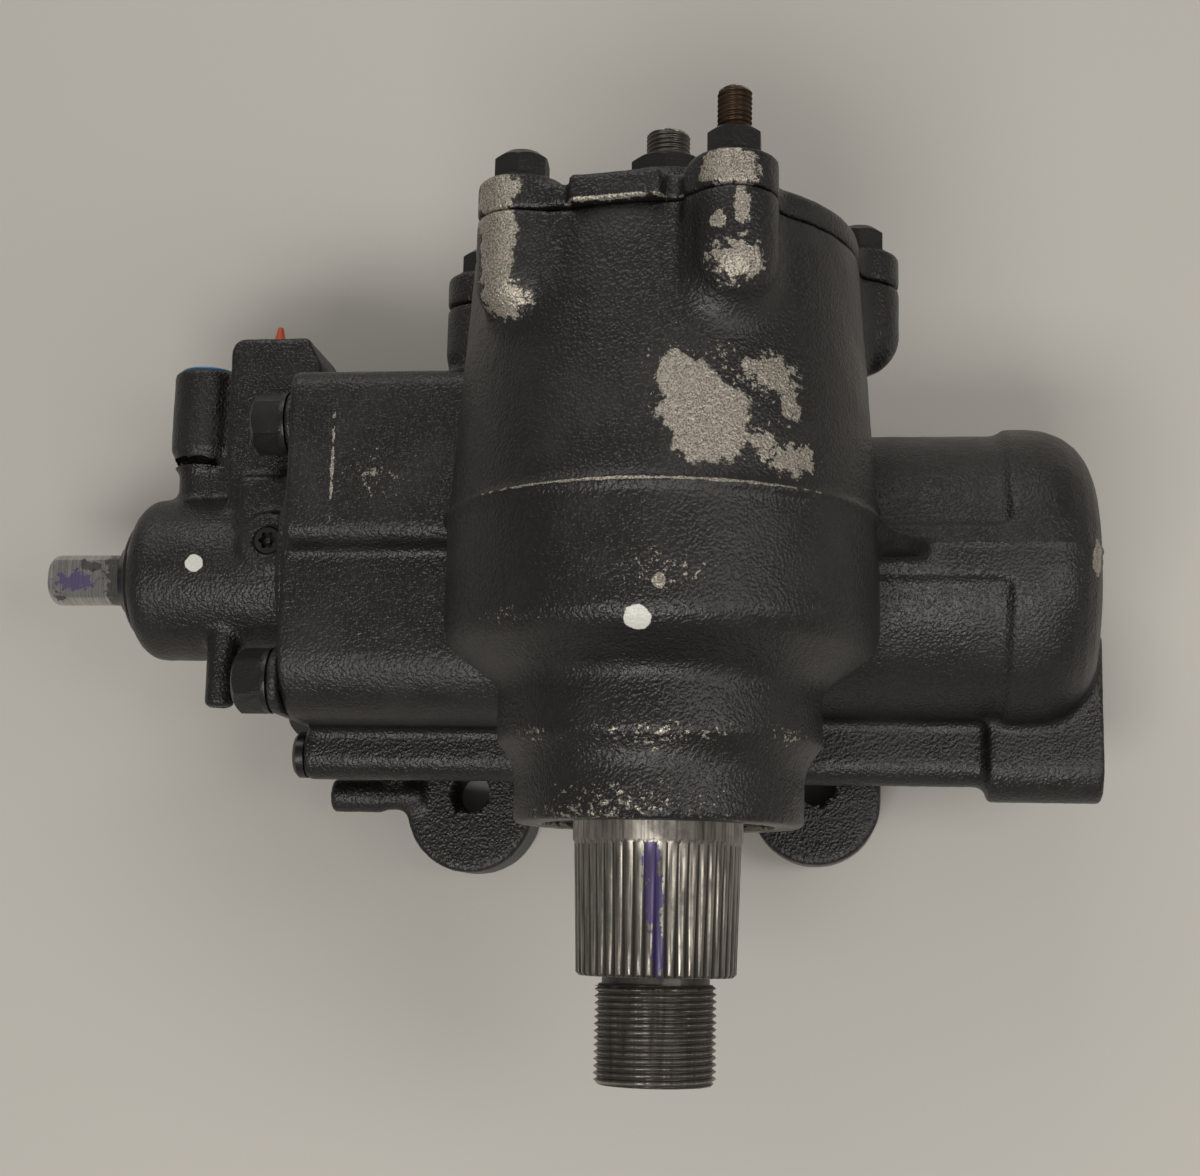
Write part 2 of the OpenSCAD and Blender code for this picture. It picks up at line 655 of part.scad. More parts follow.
module valve_inside() {
    rod_x(input_bearing_x + needle_bearing_l, -seam_x + spigot_l + cut, sleeve_r + run_gap);
    rod_x(bearing_x0, -seam_x + spigot_l + cut, bearing_out_r + run_gap);
    rod_x(input_bearing_x - slip_gap, -seam_x, input_journal_r + needle_bearing_t + run_gap);
    rod_x(valve_x0 - cut, input_bearing_x - slip_gap, seal_bore_r + run_gap);
    rod_x(input_snap_x - slip_gap, input_snap_x + input_snap_t + slip_gap, seal_bore_r + input_snap_out + slip_gap);
    ring_x(-seam_x + 3 - slip_gap, -seam_x + 3 + ring_w, bore_r - slip_gap - pilot_groove_depth, bore_r + cut);
    for (i = [0:3])
        rod_x(-seam_x - valve_ear_t[i] - cut, -seam_x + block_set_back + cut, valve_bolt_d / 2 + free_gap,
            valve_bolt_places[i][0], worm_height + valve_bolt_places[i][1]);
    // Ports: counterbore, thread, and the drilling down to the valve
    port_cut(pressure_port_x, arm_top_y, pressure_port_d / 2, pressure_counterbore, pressure_port_l);
    port_cut(return_port_x, return_port_top_y, return_port_d / 2, return_counterbore, return_port_l);
    rod_z(worm_height + star_front - star_plug_l - 0.5, worm_height + star_front + cut,
        star_plug_r + slip_gap, star_x, star_y);
    rod_y(lug_y0 - cut, lug_y0 + lug_hole_l, lug_hole_r, lug_x, lug_z);
}

module port_cut(x, top, r, counterbore, l) {
    thread_y = top - counterbore - l;
    rod_y(top - counterbore, top + cut, r + port_rim, x, worm_height);
    rod_y(thread_y, top + cut, r, x, worm_height);
    rod_y(thread_y - seat_l, top, r - seat_step, x, worm_height);
    rod_y(0, top, seat_hole_r, x, worm_height);
}

module valve_housing() color("#262728") gear_frame() difference() {
    valve_outside();
    valve_inside();
}

module valve_o_ring() color("#111111") gear_frame()
    ring_x(-seam_x + 3, -seam_x + 3 + ring_w - slip_gap, bore_r - pilot_groove_depth, bore_r - run_gap);

module valve_bolts() color("#2b2b2c") gear_frame() for (i = [0:3]) {
    y = valve_bolt_places[i][0];
    z = worm_height + valve_bolt_places[i][1];
    seat_x = -seam_x - valve_ear_t[i];
    rod_x(seat_x, -seam_x + valve_bolt_grip, valve_bolt_d / 2, y, z);
    rod_x(seat_x - valve_washer_t, seat_x, valve_ear_r, y, z);
    hex_x(seat_x - valve_head_t, valve_head_t - valve_washer_t, valve_head_af, y, z);
}

module passage_plug() color("#2d2d2e") gear_frame() difference() {
    star_top = worm_height + star_front - 0.5;
    rod_z(star_top - star_plug_l, star_top, star_plug_r, star_x, star_y);
    for (a = [0:60:300]) translate([star_x, star_y, star_top - 3.5]) rotate(a)
        translate([1.8, 0, 0]) cylinder(h = 4, r = 1.1);
    rod_z(star_top - 3.5, star_top + cut, 2, star_x, star_y);
}

module gallery_plugs() color("#2d2d2e") gear_frame() {
    plug_x = -seam_x - gallery_over;
    rod_x(plug_x, plug_x + gallery_plug_l, gallery_bore_r - slip_gap, gallery_y, gallery_z);
    rod_x(plug_x - gallery_plug_t, plug_x, gallery_plug_r, gallery_y, gallery_z);
    rod_x(-seam_x, -seam_x + side_plug_l, side_bore_r - slip_gap, side_boss_y, side_boss_z);
}

module tube_seat(x, thread_y, r) difference() {
    seat_y = thread_y - seat_l;
    rod_y(seat_y, seat_y + seat_l, r - seat_step - slip_gap, x, worm_height);
    rod_y(seat_y - cut, seat_y + seat_l + cut, seat_hole_r, x, worm_height);
}

module pressure_tube_seat() color("#b08d4f") gear_frame()
    tube_seat(pressure_port_x, arm_top_y - pressure_counterbore - pressure_port_l, pressure_port_d / 2);

module return_tube_seat() color("#b08d4f") gear_frame()
    tube_seat(return_port_x, return_port_top_y - return_counterbore - return_port_l, return_port_d / 2);

module input_needle_bearing() color("#b5b7b9") gear_frame()
    ring_x(input_bearing_x, input_bearing_x + needle_bearing_l,
        input_journal_r + run_gap, input_journal_r + needle_bearing_t);

module input_lip_seal() color("#161616") gear_frame()
    ring_x(lip_seal_x, lip_seal_x + lip_seal_t, input_journal_r + slip_gap, seal_bore_r);

module input_snap_ring() color("#55585a") gear_frame()
    ring_x(input_snap_x, input_snap_x + input_snap_t, seal_bore_r - input_snap_in, seal_bore_r + input_snap_out);

module input_dust_seal() color("#0c0c0d") gear_frame() turned_x() polygon([
    [input_r + slip_gap, valve_x0 - dust_cap_t], [input_r + 3, valve_x0 - dust_cap_t],
    [dust_cap_r - 2, valve_x0 - 1.5], [dust_cap_r - 1, valve_x0], [input_r + 2, valve_x0],
    [input_r + slip_gap, valve_x0 - 3]]);

// Bearing races with a round track between them
module worm_bearing_outer_race() color("#b5b7b9") gear_frame() difference() {
    ring_x(bearing_x0, bearing_x0 + bearing_w, bearing_out_r - race_t, bearing_out_r);
    bearing_track();
}

module worm_bearing_inner_race() color("#b5b7b9") gear_frame() difference() {
    ring_x(bearing_x0 + free_gap, bearing_x0 + bearing_w, worm_head_r + run_gap, worm_head_r + race_t);
    bearing_track();
}

module bearing_track() turned_x()
    translate([bearing_pitch_r, bearing_x0 + bearing_w / 2]) circle(r = bearing_groove_r);

module worm_bearing_balls() color("#c8cacc") gear_frame()
    translate([bearing_x0 + bearing_w / 2, 0, worm_height]) for (i = [0:bearing_balls - 1])
        rotate([360 * i / bearing_balls, 0, 0]) translate([0, bearing_pitch_r, 0]) sphere(r = bearing_ball_r);

module bearing_lock_ring() color("#6c6e70") gear_frame()
    ring_x(bearing_x0 + bearing_w, bearing_x0 + bearing_w + lock_ring_t, worm_head_r + 5, bearing_out_r);

// Involute flank: angle and point at radius r, with the tooth centred on angle 0
function involute(r) = sqrt(pow(r / base_r, 2) - 1) * 180 / PI - acos(base_r / r);
half_tooth = (90 - backlash / tooth_module * 90 / PI) / sector_teeth + involute(pitch_r);
flank_steps = 6;
flank_radii = [for (i = [0:flank_steps]) base_r + (tip_r - base_r) * i / flank_steps];
flank = [for (r = flank_radii) let (a = half_tooth - involute(r)) [r * cos(a), r * sin(a)]];
foot = [root_r * cos(half_tooth), root_r * sin(half_tooth)];
tooth_outline = concat([[0, 0], [foot[0], -foot[1]]], [for (p = flank) [p[0], -p[1]]],
    [for (i = [flank_steps:-1:0]) flank[i]], [foot]);

// Five teeth reach down to the rack
module sector_teeth_solid() translate([0, sector_width / 2, sector_z]) rotate([90, 0, 0])
    linear_extrude(sector_width) for (i = [-2:2]) rotate(-90 + i * tooth_step) polygon(tooth_outline);

serration_top_y = -boss_y - 5;
serration_end_y = serration_top_y - serration_l;
thread_top_y = serration_end_y - 3;
thread_end_y = thread_top_y - thread_l;
serration_depth = 1.5;
serration_end_r = serration_d / 2 - serration_l / 32;

// Serrations are straight grooves that follow the taper and run out in points below the collar
module serration_grooves() for (i = [0:serrations - 1])
    translate([0, 0, sector_z]) rotate([0, 360 * (i + 0.5) / serrations, 0])
        translate([serration_end_r, serration_end_y, 0])
            rotate([0, 0, -atan((serration_d / 2 - serration_end_r) / serration_l) - 1.2])
                translate([0, -2, 0]) rotate([-90, 0, 0]) linear_extrude(serration_l + 1)
                    polygon([[2, -2.3], [2, 2.3], [-serration_depth, 0]]);

module sector_shaft() color("#5b5c5c") gear_frame() difference() {
    union() {
        turned_y() polygon([[0, thread_end_y], [thread_d / 2 - 1.5, thread_end_y],
            [thread_d / 2, thread_end_y + 1.5], [thread_d / 2, thread_top_y], [thread_d / 2 - 2, thread_top_y + 0.5],
            [thread_d / 2 - 2, serration_end_y], [serration_end_r - 1, serration_end_y],
            [serration_end_r, serration_end_y + 1], [serration_d / 2, serration_top_y],
            [journal_r, serration_top_y + 0.5], [journal_r, -sector_width / 2], [root_r, -sector_width / 2],
            [root_r, sector_width / 2], [upper_journal_r, sector_width / 2], [upper_journal_r, sector_top_y],
            [0, sector_top_y]]);
        sector_teeth_solid();
    }
    serration_grooves();
    rod_y(adjuster_pocket_y, sector_top_y + cut, adjuster_head_r + free_gap);
}

module adjuster_retainer() color("#77797b") gear_frame()
    ring_y(sector_top_y - retainer_t, sector_top_y, adjuster_d / 2 + free_gap, adjuster_head_r + free_gap - run_gap);

// Straight-sided rack spaces, wider than a tooth by the backlash, below a flat across the piston
space_half_w = (rack_pitch / 2 + backlash / 2) / 2;
space_top_half_w = space_half_w + (rack_top_h - rack_pitch_h) * tan(pressure_angle);
space_root_half_w = space_half_w - (rack_pitch_h - rack_root_h) * tan(pressure_angle);
module rack_spaces() translate([0, bore_r + cut, worm_height]) rotate([90, 0, 0])
    linear_extrude(2 * bore_r + 2 * cut) {
        translate([-rack_half_l, rack_top_h]) square([2 * rack_half_l, bore_r]);
        for (i = [-2:2]) translate([i * rack_pitch, 0]) polygon([[-space_root_half_w, rack_root_h],
            [space_root_half_w, rack_root_h], [space_top_half_w, rack_top_h + 0.01],
            [-space_top_half_w, rack_top_h + 0.01]]);
    }

module rack_piston() color("#8d8f91") gear_frame() difference() {
    turned_x() polygon([[0, piston_x0], [piston_r - piston_bevel, piston_x0], [piston_r, piston_x0 + piston_bevel],
        [piston_r, piston_x1 - piston_bevel], [piston_r - piston_bevel, piston_x1], [0, piston_x1]]);
    rack_spaces();
    rod_x(piston_x0 - cut, piston_x1 - piston_end_t, nut_bore_r);
    rod_x(piston_x0, piston_x1 + cut, piston_plug_r);
    ring_x(ring_x0, ring_x0 + ring_w + slip_gap, piston_r - ring_groove_depth, piston_r + cut);
    // Pocket for the ball return guide and its two legs
    translate([-guide_reach - pocket_margin, -pocket_w / 2, worm_height - bore_r - cut])
        cube([2 * guide_reach + 2 * pocket_margin, pocket_w, bore_r + cut - pocket_h]);
    for (x = [-guide_reach, guide_reach]) rod_z(worm_height - guide_h, worm_height, guide_r + slip_gap, x, 0);
    for (y = [-screw_y, screw_y])
        rod_z(worm_height - clamp_h, worm_height - clamp_h + screw_l + 1, screw_r + slip_gap, 0, y);
}

module piston_ring() color("#d8d4c4") gear_frame()
    ring_x(ring_x0 + run_gap, ring_x0 + ring_w, piston_r - ring_groove_depth / 2, bore_r - run_gap);

module piston_backup_ring() color("#111111") gear_frame()
    ring_x(ring_x0 + slip_gap, ring_x0 + ring_w - slip_gap, piston_r - ring_groove_depth + run_gap,
        piston_r - ring_groove_depth / 2 - run_gap);

module piston_end_plug() color("#77797b") gear_frame() difference() {
    rod_x(piston_x1 - piston_end_t, piston_x1 - 0.5, piston_plug_r - slip_gap);
    rod_x(piston_x1 - piston_socket_l, piston_x1 + cut, piston_socket_r);
}

// Balls lie on the worm's helix, which a half turn of worm carries along by half the lead
module recirculating_balls() color("#c8cacc") gear_frame()
    translate([0, 0, worm_height]) rotate([0, 90, 0]) for (i = [0:circuit_balls - 1]) {
        turn = circuit_turns * (2 * i / (circuit_balls - 1) - 1) * 0.9;
        rotate(360 * turn) translate([ball_track_r, 0, lead * turn]) sphere(r = ball_r);
    }

// Tube that leads the balls from one end of the circuit back to the other
module guide_path(r) {
    leg_top = worm_height - nut_bore_r - slip_gap;
    for (x = [-guide_reach, guide_reach]) {
        rod_z(worm_height - guide_h, leg_top, r, x, 0);
        translate([x, 0, worm_height - guide_h]) sphere(r = r);
    }
    rod_x(-guide_reach, guide_reach, r, 0, worm_height - guide_h);
}

module ball_return_guide() color("#9b9d9f") gear_frame() difference() {
    guide_path(guide_r);
    guide_path(ball_r + slip_gap);
    for (x = [-guide_reach, guide_reach]) rod_z(worm_height - guide_h, worm_height, ball_r + slip_gap, x, 0);
}

module guide_clamp() color("#8a8c8e") gear_frame() difference() {
    translate([-clamp_w / 2, -pocket_w / 2 + 2, worm_height - clamp_h - clamp_t])
        cube([clamp_w, pocket_w - 4, clamp_t]);
    for (y = [-screw_y, screw_y])
        rod_z(worm_height - clamp_h - clamp_t - cut, worm_height, screw_r + slip_gap, 0, y);
}

module clamp_screws() color("#6c6e70") gear_frame() for (y = [-screw_y, screw_y]) {
    seat_z = worm_height - clamp_h - clamp_t;
    rod_z(seat_z, seat_z + clamp_t + screw_l, screw_r, 0, y);
    rod_z(seat_z - screw_head_t, seat_z, screw_head_r, 0, y);
}

// Section of the worm square to its axis: the ball groove widens with the turn along one lead
groove_steps = 18;
function worm_radius(a) = let (along = abs(a) / 360 * lead)
    along < groove_r ? min(worm_r, ball_track_r - sqrt(groove_r * groove_r - along * along)) : worm_r;
worm_section = [for (i = [0:groove_steps - 1]) let (a = 360 * i / groove_steps - 180)
    worm_radius(a) * [cos(a), sin(a)]];
worm_slices_per_turn = 18;

module worm_shaft() color("#a9abad") gear_frame() {
    worm_l = worm_x1 - worm_x0;
    translate([worm_x0, 0, worm_height]) rotate([0, 90, 0]) rotate(360 * worm_x0 / lead)
        linear_extrude(worm_l, twist = -360 * worm_l / lead, slices = ceil(worm_l / lead * worm_slices_per_turn),
            $fn = groove_steps) polygon(worm_section);
    difference() {
        turned_x() polygon([[0, worm_head_x], [worm_head_r, worm_head_x], [worm_head_r, bearing_x0 + bearing_w],
            [worm_head_r + worm_shoulder_h, bearing_x0 + bearing_w],
            [worm_head_r + worm_shoulder_h, bearing_x0 + bearing_w + worm_shoulder_t],
            [ball_track_r - groove_r - 0.5, bearing_x0 + bearing_w + worm_shoulder_t + worm_neck_l],
            [ball_track_r - groove_r - 0.5, worm_x0 + 2], [0, worm_x0 + 2]]);
        rod_x(worm_head_x - cut, worm_head_x + tang_l + 2, tang_r + free_gap);
        rod_x(worm_head_x - cut, bar_x1 + 0.5, bar_r + free_gap);
        rod_x(worm_head_x - cut, worm_head_x + drive_pin_l / 2 + 0.5, drive_pin_r + slip_gap,
            drive_pin_offset, worm_height);
    }
}

module valve_sleeve() color("#8f9193") gear_frame() difference() {
    ring_x(sleeve_x0, sleeve_x1, spool_r + run_gap, sleeve_r);
    for (i = [0:3]) ring_x(sleeve_ring_x + i * sleeve_ring_step, sleeve_ring_x + i * sleeve_ring_step
        + sleeve_ring_w + slip_gap, sleeve_r - sleeve_ring_depth, sleeve_r + cut);
    for (i = [0:2], a = [0:120:240])
        translate([sleeve_port_x + i * sleeve_ring_step, 0, worm_height]) rotate([a, 0, 0])
            cylinder(h = sleeve_r + cut, r = sleeve_port_r);
    rod_x(sleeve_x1 - drive_pin_l / 2 - 0.5, sleeve_x1 + cut, drive_pin_r + slip_gap, drive_pin_offset, worm_height);
}

module sleeve_rings() color("#d8d4c4") gear_frame() for (i = [0:3])
    ring_x(sleeve_ring_x + run_gap + i * sleeve_ring_step, sleeve_ring_x + i * sleeve_ring_step + sleeve_ring_w,
        sleeve_r - sleeve_ring_depth + run_gap, sleeve_r - run_gap / 2);

module sleeve_drive_pin() color("#c8cacc") gear_frame()
    rod_x(sleeve_x1 - drive_pin_l / 2, sleeve_x1 + drive_pin_l / 2, drive_pin_r, drive_pin_offset, worm_height);

module input_shaft() color("#b9bbbc") gear_frame() difference() {
    turned_x() polygon(concat([[0, input_x0]], arc(input_r - 3, input_x0 + 3, 3, 270, 360),
        [[input_r, valve_x0 - 2], [input_journal_r, valve_x0 - 1], [input_journal_r, sleeve_x0 + 1]],
        [[spool_r, sleeve_x0 + 1], [spool_r, sleeve_x1 - 1], [tang_r, sleeve_x1 - 1]],
        [[tang_r, worm_head_x + tang_l], [0, worm_head_x + tang_l]]));
    // Two flats face up and down
    for (s = [-1, 1]) translate([input_x0 - cut, -input_r - cut, worm_height + s * (input_flats / 2 + input_r)
        - input_r]) cube([input_reach + cut, 2 * input_r + 2 * cut, 2 * input_r]);
    // Valve slots round the spool
    for (a = [30:60:330]) translate([(sleeve_x0 + sleeve_x1) / 2, 0, worm_height]) rotate([a, 0, 0])
        translate([-13, -2, spool_r - 1.2]) cube([26, 4, 3]);
    rod_x(bar_x0 - 0.5, worm_head_x + tang_l + cut, bar_r + slip_gap);
    rod_y(-input_journal_r - cut, input_journal_r + cut, drive_pin_r + slip_gap, bar_x0 + 5.5, worm_height);
}

module torsion_bar() color("#77797b") gear_frame() difference() {
    rod_x(bar_x0, bar_x1, bar_r);
    rod_y(-bar_r - cut, bar_r + cut, drive_pin_r + slip_gap, bar_x0 + 5.5, worm_height);
}

module torsion_bar_pin() color("#c8cacc") gear_frame()
    rod_y(-input_r + 0.5, input_r - 0.5, drive_pin_r, bar_x0 + 5.5, worm_height);

// Shipping plug: a skirt in the counterbore, a flange on the port face and a pull tip
module port_plug(x, top, r, skirt_l, tip_r, tip_h) {
    rod_y(top - skirt_l + plug_gap, top, r + port_rim - plug_gap, x, worm_height);
    rod_y(top, top + plug_flange_t, r + port_rim + plug_flange_over, x, worm_height);
    translate([x, top + plug_flange_t, worm_height]) rotate([-90, 0, 0])
        cylinder(h = tip_h, r1 = tip_r, r2 = tip_r * plug_tip_taper);
}

module pressure_port_plug() color("#d2502a") gear_frame()
    port_plug(pressure_port_x, arm_top_y, pressure_port_d / 2, pressure_counterbore, pressure_tip_r, pressure_tip_h);

module return_port_plug() color("#2f62ab") gear_frame()
    port_plug(return_port_x, return_port_top_y, return_port_d / 2, return_counterbore, return_tip_r, return_tip_h);

gear_housing();
side_cover();
cover_o_ring();
cover_bolts();
cover_stud_bolt();
adjuster_screw();
adjuster_lock_nut();
cover_bushing();
lower_needle_bearing();
sector_oil_seal();
sector_dust_seal();
sector_snap_ring();
valve_housing();
valve_o_ring();
valve_bolts();
passage_plug();
gallery_plugs();
pressure_tube_seat();
return_tube_seat();
input_needle_bearing();
input_lip_seal();
input_snap_ring();
input_dust_seal();
worm_bearing_outer_race();
worm_bearing_balls();
bearing_lock_ring();
sector_shaft();
adjuster_retainer();
rack_piston();
piston_ring();
piston_backup_ring();
piston_end_plug();
recirculating_balls();
ball_return_guide();
guide_clamp();
clamp_screws();
worm_shaft();
worm_bearing_inner_race();
valve_sleeve();
sleeve_rings();
sleeve_drive_pin();
input_shaft();
torsion_bar();
torsion_bar_pin();
pressure_port_plug();
return_port_plug();
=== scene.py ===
import math

import bmesh
import bpy
import numpy as np
import openvdb as vdb
from mathutils import Matrix, Vector


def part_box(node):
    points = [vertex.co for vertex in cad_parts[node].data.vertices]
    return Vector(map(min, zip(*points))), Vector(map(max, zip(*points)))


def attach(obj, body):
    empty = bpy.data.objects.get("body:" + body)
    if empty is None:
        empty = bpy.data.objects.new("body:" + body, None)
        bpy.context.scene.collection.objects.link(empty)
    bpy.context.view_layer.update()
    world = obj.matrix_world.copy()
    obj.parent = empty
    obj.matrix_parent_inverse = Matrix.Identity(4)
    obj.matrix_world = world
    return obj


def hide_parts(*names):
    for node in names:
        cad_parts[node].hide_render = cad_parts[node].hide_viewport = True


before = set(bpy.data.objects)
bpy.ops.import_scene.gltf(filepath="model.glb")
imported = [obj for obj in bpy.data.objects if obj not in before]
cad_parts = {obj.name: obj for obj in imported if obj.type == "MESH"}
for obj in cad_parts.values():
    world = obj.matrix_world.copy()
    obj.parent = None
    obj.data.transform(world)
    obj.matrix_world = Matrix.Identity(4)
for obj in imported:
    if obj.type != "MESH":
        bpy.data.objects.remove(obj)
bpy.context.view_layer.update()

# Gear housing: one grey iron casting with a cylinder, a sector chamber, a flange block and three frame pads.
# It is cast in sand with fillets and a parting fin, then bored, faced and drilled, and sprayed satin black
# when the gear is assembled. Handling has worn the paint off the highest spots.
MM = 0.001
HOUSING_VOXEL = 0.9 * MM
HOUSING_FILLET = 2.4 * MM
HOUSING_EDGE = 0.8 * MM
HOUSING_FACES_KEPT = 0.3
SMOOTH_ANGLE = math.radians(38)
BLEND_VOXEL = 1.8 * MM
BLEND_SET_BACK = 0.2 * MM
BLEND_R = 9 * MM
WELD = 0.001 * MM
LUMP_WAVES = 14
# Unevenness left by the sand: height and wavelength in millimetres, and the seed of its draw
SAND_LUMPS = ((0.08, 11, 3), (0.05, 4.5, 4))


def middle(node):
    low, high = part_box(node)
    return (low + high) / 2


sector_axis = middle("sector_oil_seal")
worm_axis = middle("valve_o_ring")
ORIGIN = Vector((sector_axis.x, worm_axis.y, 0.0))


def at(x, y, z):
    """A point in the gear's own millimetres: X from the sector axis, Y from the worm axis, Z from the pads."""
    return ORIGIN + Vector((x, y, z)) * MM


def on_axis(axis, centre, radius, angle, along):
    """A point round an axis of X, Y or Z through a centre, with its place along the axis given outright."""
    k = "XYZ".index(axis)
    place = Vector(centre)
    place[k] = along
    place[(k + 1) % 3] += radius * math.cos(angle)
    place[(k + 2) % 3] += radius * math.sin(angle)
    return place


def lathe(axis, centre, profile, sides=96):
    """A turned solid from (radius, place along the axis) points, as a ring where no point is on the axis."""
    made = bmesh.new()
    rings = []
    for radius, along in profile:
        count = sides if radius > 0 else 1
        rings.append([made.verts.new(on_axis(axis, centre, radius, 2 * math.pi * j / sides, along))
                      for j in range(count)])
    solid = len(rings[0]) == 1
    for one, two in zip(rings, rings[1:] + ([] if solid else rings[:1])):
        for j in range(sides):
            corners = [one[j % len(one)], one[(j + 1) % len(one)], two[(j + 1) % len(two)], two[j % len(two)]]
            made.faces.new(list(dict.fromkeys(corners)))
    return made


def rod(axis, start, end, radius, centre, sides=96):
    """A closed cylinder along X, Y or Z from start to end, round the given centre."""
    return lathe(axis, centre, [(0, start), (radius, start), (radius, end), (0, end)], sides)


def placed(name, data):
    """A new scene object with the given mesh, lamp or camera."""
    thing = bpy.data.objects.new(name, data)
    bpy.context.scene.collection.objects.link(thing)
    return thing


def object_from(name, made):
    """A scene object from a bmesh, which is freed."""
    mesh = bpy.data.meshes.new(name)
    bmesh.ops.recalc_face_normals(made, faces=made.faces)
    made.to_mesh(mesh)
    made.free()
    return placed(name, mesh)


def settle(thing):
    """Turns an object's modifiers into its mesh."""
    bpy.context.view_layer.update()
    shape = thing.evaluated_get(bpy.context.evaluated_depsgraph_get())
    done = bpy.data.meshes.new_from_object(shape)
    thing.modifiers.clear()
    thing.data = done
    return thing


def carve(thing, tool, operation="DIFFERENCE"):
    """Cuts with, adds or keeps what is inside another solid, which is used up."""
    step = thing.modifiers.new("carve", "BOOLEAN")
    step.solver = "MANIFOLD"
    step.operation = operation
    step.object = tool
    settle(thing)
    bpy.data.objects.remove(tool)
    return thing


def smooth(piece, angle=SMOOTH_ANGLE):
    piece.data.polygons.foreach_set("use_smooth", [True] * len(piece.data.polygons))
    piece.data.set_sharp_from_angle(angle=angle)
    return piece


def welded(node):
    """A CAD node's mesh with its doubled corners put together."""
    made = bmesh.new()
    made.from_mesh(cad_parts[node].data)
    bmesh.ops.remove_doubles(made, verts=made.verts, dist=WELD)
    return made


def solid_of(node, name):
    """A welded copy of a CAD node."""
    return object_from(name, welded(node))


def triangles_of(mesh):
    mesh.calc_loop_triangles()
    points = np.empty(len(mesh.vertices) * 3, np.float32)
    mesh.vertices.foreach_get("co", points)
    corners = np.empty(len(mesh.loop_triangles) * 3, np.int32)
    mesh.loop_triangles.foreach_get("vertices", corners)
    return points.reshape(-1, 3), corners.reshape(-1, 3)


def offset_surface(points, distance, voxel, triangles=None, quads=None):
    """The surface a distance outside a closed mesh, or inside it where the distance is negative."""
    field = vdb.FloatGrid.createLevelSetFromPolygons(
        np.ascontiguousarray(points, np.float32), triangles=triangles, quads=quads,
        transform=vdb.createLinearTransform(voxelSize=voxel), halfWidth=abs(distance) / voxel + 3.0)
    return field.convertToQuads(isovalue=distance)


def lumps(points, wavelength, seed):
    """Soft unevenness with about the given wavelength, from -1 to 1."""
    draw = np.random.RandomState(seed)
    waves = draw.normal(size=(LUMP_WAVES, 3))
    waves *= (2 * math.pi / wavelength) / np.linalg.norm(waves, axis=1, keepdims=True)
    phases = draw.uniform(0, 2 * math.pi, LUMP_WAVES)
    return np.sin(points @ waves.T + phases).sum(1) / (LUMP_WAVES / 2)


def normals_of(points, quads):
    across = np.cross(points[quads[:, 2]] - points[quads[:, 0]], points[quads[:, 3]] - points[quads[:, 1]])
    total = np.zeros_like(points)
    for corner in range(4):
        for i in range(3):
            total[:, i] += np.bincount(quads[:, corner], across[:, i], len(points))
    return total / np.maximum(np.linalg.norm(total, axis=1, keepdims=True), 1e-12)


def gather(solids):
    """Closed meshes put together as one list of points and one of triangles."""
    base, points, triangles = 0, [], []
    for more, corners in solids:
        points.append(more)
        triangles.append(corners + base)
        base += len(more)
    return np.concatenate(points), np.concatenate(triangles)


def mesh_object(name, points, quads):
    mesh = bpy.data.meshes.new(name)
    mesh.from_pydata(np.asarray(points, float).tolist(), [], np.asarray(quads).tolist())
    return placed(name, mesh)


def outward(points, quads):
    """Quads turned so that their normals point out of the solid."""
    quads = np.asarray(quads, np.int64)
    size = (points[quads[:, 0]] * np.cross(points[quads[:, 1]], points[quads[:, 2]])).sum()
    return quads if size > 0 else quads[:, ::-1]


def wide_blends(solids, radius, boxes):
    """Solids with wide fillets between them, set back a little and kept only inside the given boxes."""
    points, triangles = gather(solids)
    points, quads = offset_surface(points, radius, BLEND_VOXEL, triangles=triangles)
    points, quads = offset_surface(points, -radius - BLEND_SET_BACK, BLEND_VOXEL, quads=quads)
    points = np.asarray(points, float)
    quads = outward(points, quads)
    kept = []
    for low, high in boxes:
        made = bmesh.new()
        bmesh.ops.create_cube(made, size=1.0)
        for corner in made.verts:
            corner.co = [low[i] if corner.co[i] < 0 else high[i] for i in range(3)]
        block = carve(mesh_object("blend", points, quads), object_from("box", made), "INTERSECT")
        kept.append(triangles_of(block.data))
        bpy.data.objects.remove(block)
    return kept


def cast_form(name, node, hollows, fillet, edge, voxel, kept, flash=None, beside=(), blend=0.0, boxes=()):
    """A CAD node as the foundry and the machine shop make it: a cast body with fillets and soft edges, then the
    CAD node's own bores and holes cut sharp. hollows are rods, (axis, start, end, radius, centre, open ends).
    Inside the boxes, its fillets are as wide as blend, and run on to the nodes beside it."""
    solids = [triangles_of(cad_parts[node].data)]
    tool = None
    for axis, start, end, radius, centre, (before, after) in hollows:
        plug = object_from("plug", rod(axis, start, end, radius, centre))
        solids.append(triangles_of(plug.data))
        bpy.data.objects.remove(plug)
        drill = object_from("drill", rod(axis, start - before, end + after, radius, centre))
        tool = carve(tool, drill, "UNION") if tool else drill
    if boxes:
        solids += wide_blends(solids + [triangles_of(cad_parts[other].data) for other in beside], blend, boxes)
    points, triangles = gather(solids)
    points, quads = offset_surface(points, fillet, voxel, triangles=triangles)
    points, quads = offset_surface(points, -fillet - edge, voxel, quads=quads)
    points, quads = offset_surface(points, edge, voxel, quads=quads)
    points = np.asarray(points, float)
    quads = outward(points, quads)
    out = normals_of(points, quads)
    lift = sum(height * MM * lumps(points, length * MM, seed) for height, length, seed in SAND_LUMPS)
    if flash:
        lift += flash(points, out)
    points += out * lift[:, None]
    piece = mesh_object(name, points, quads)
    thin = piece.modifiers.new("thin", "DECIMATE")
    thin.ratio = kept
    settle(piece)
    carve(tool, solid_of(node, "casting"))
    carve(piece, tool)
    return smooth(piece)


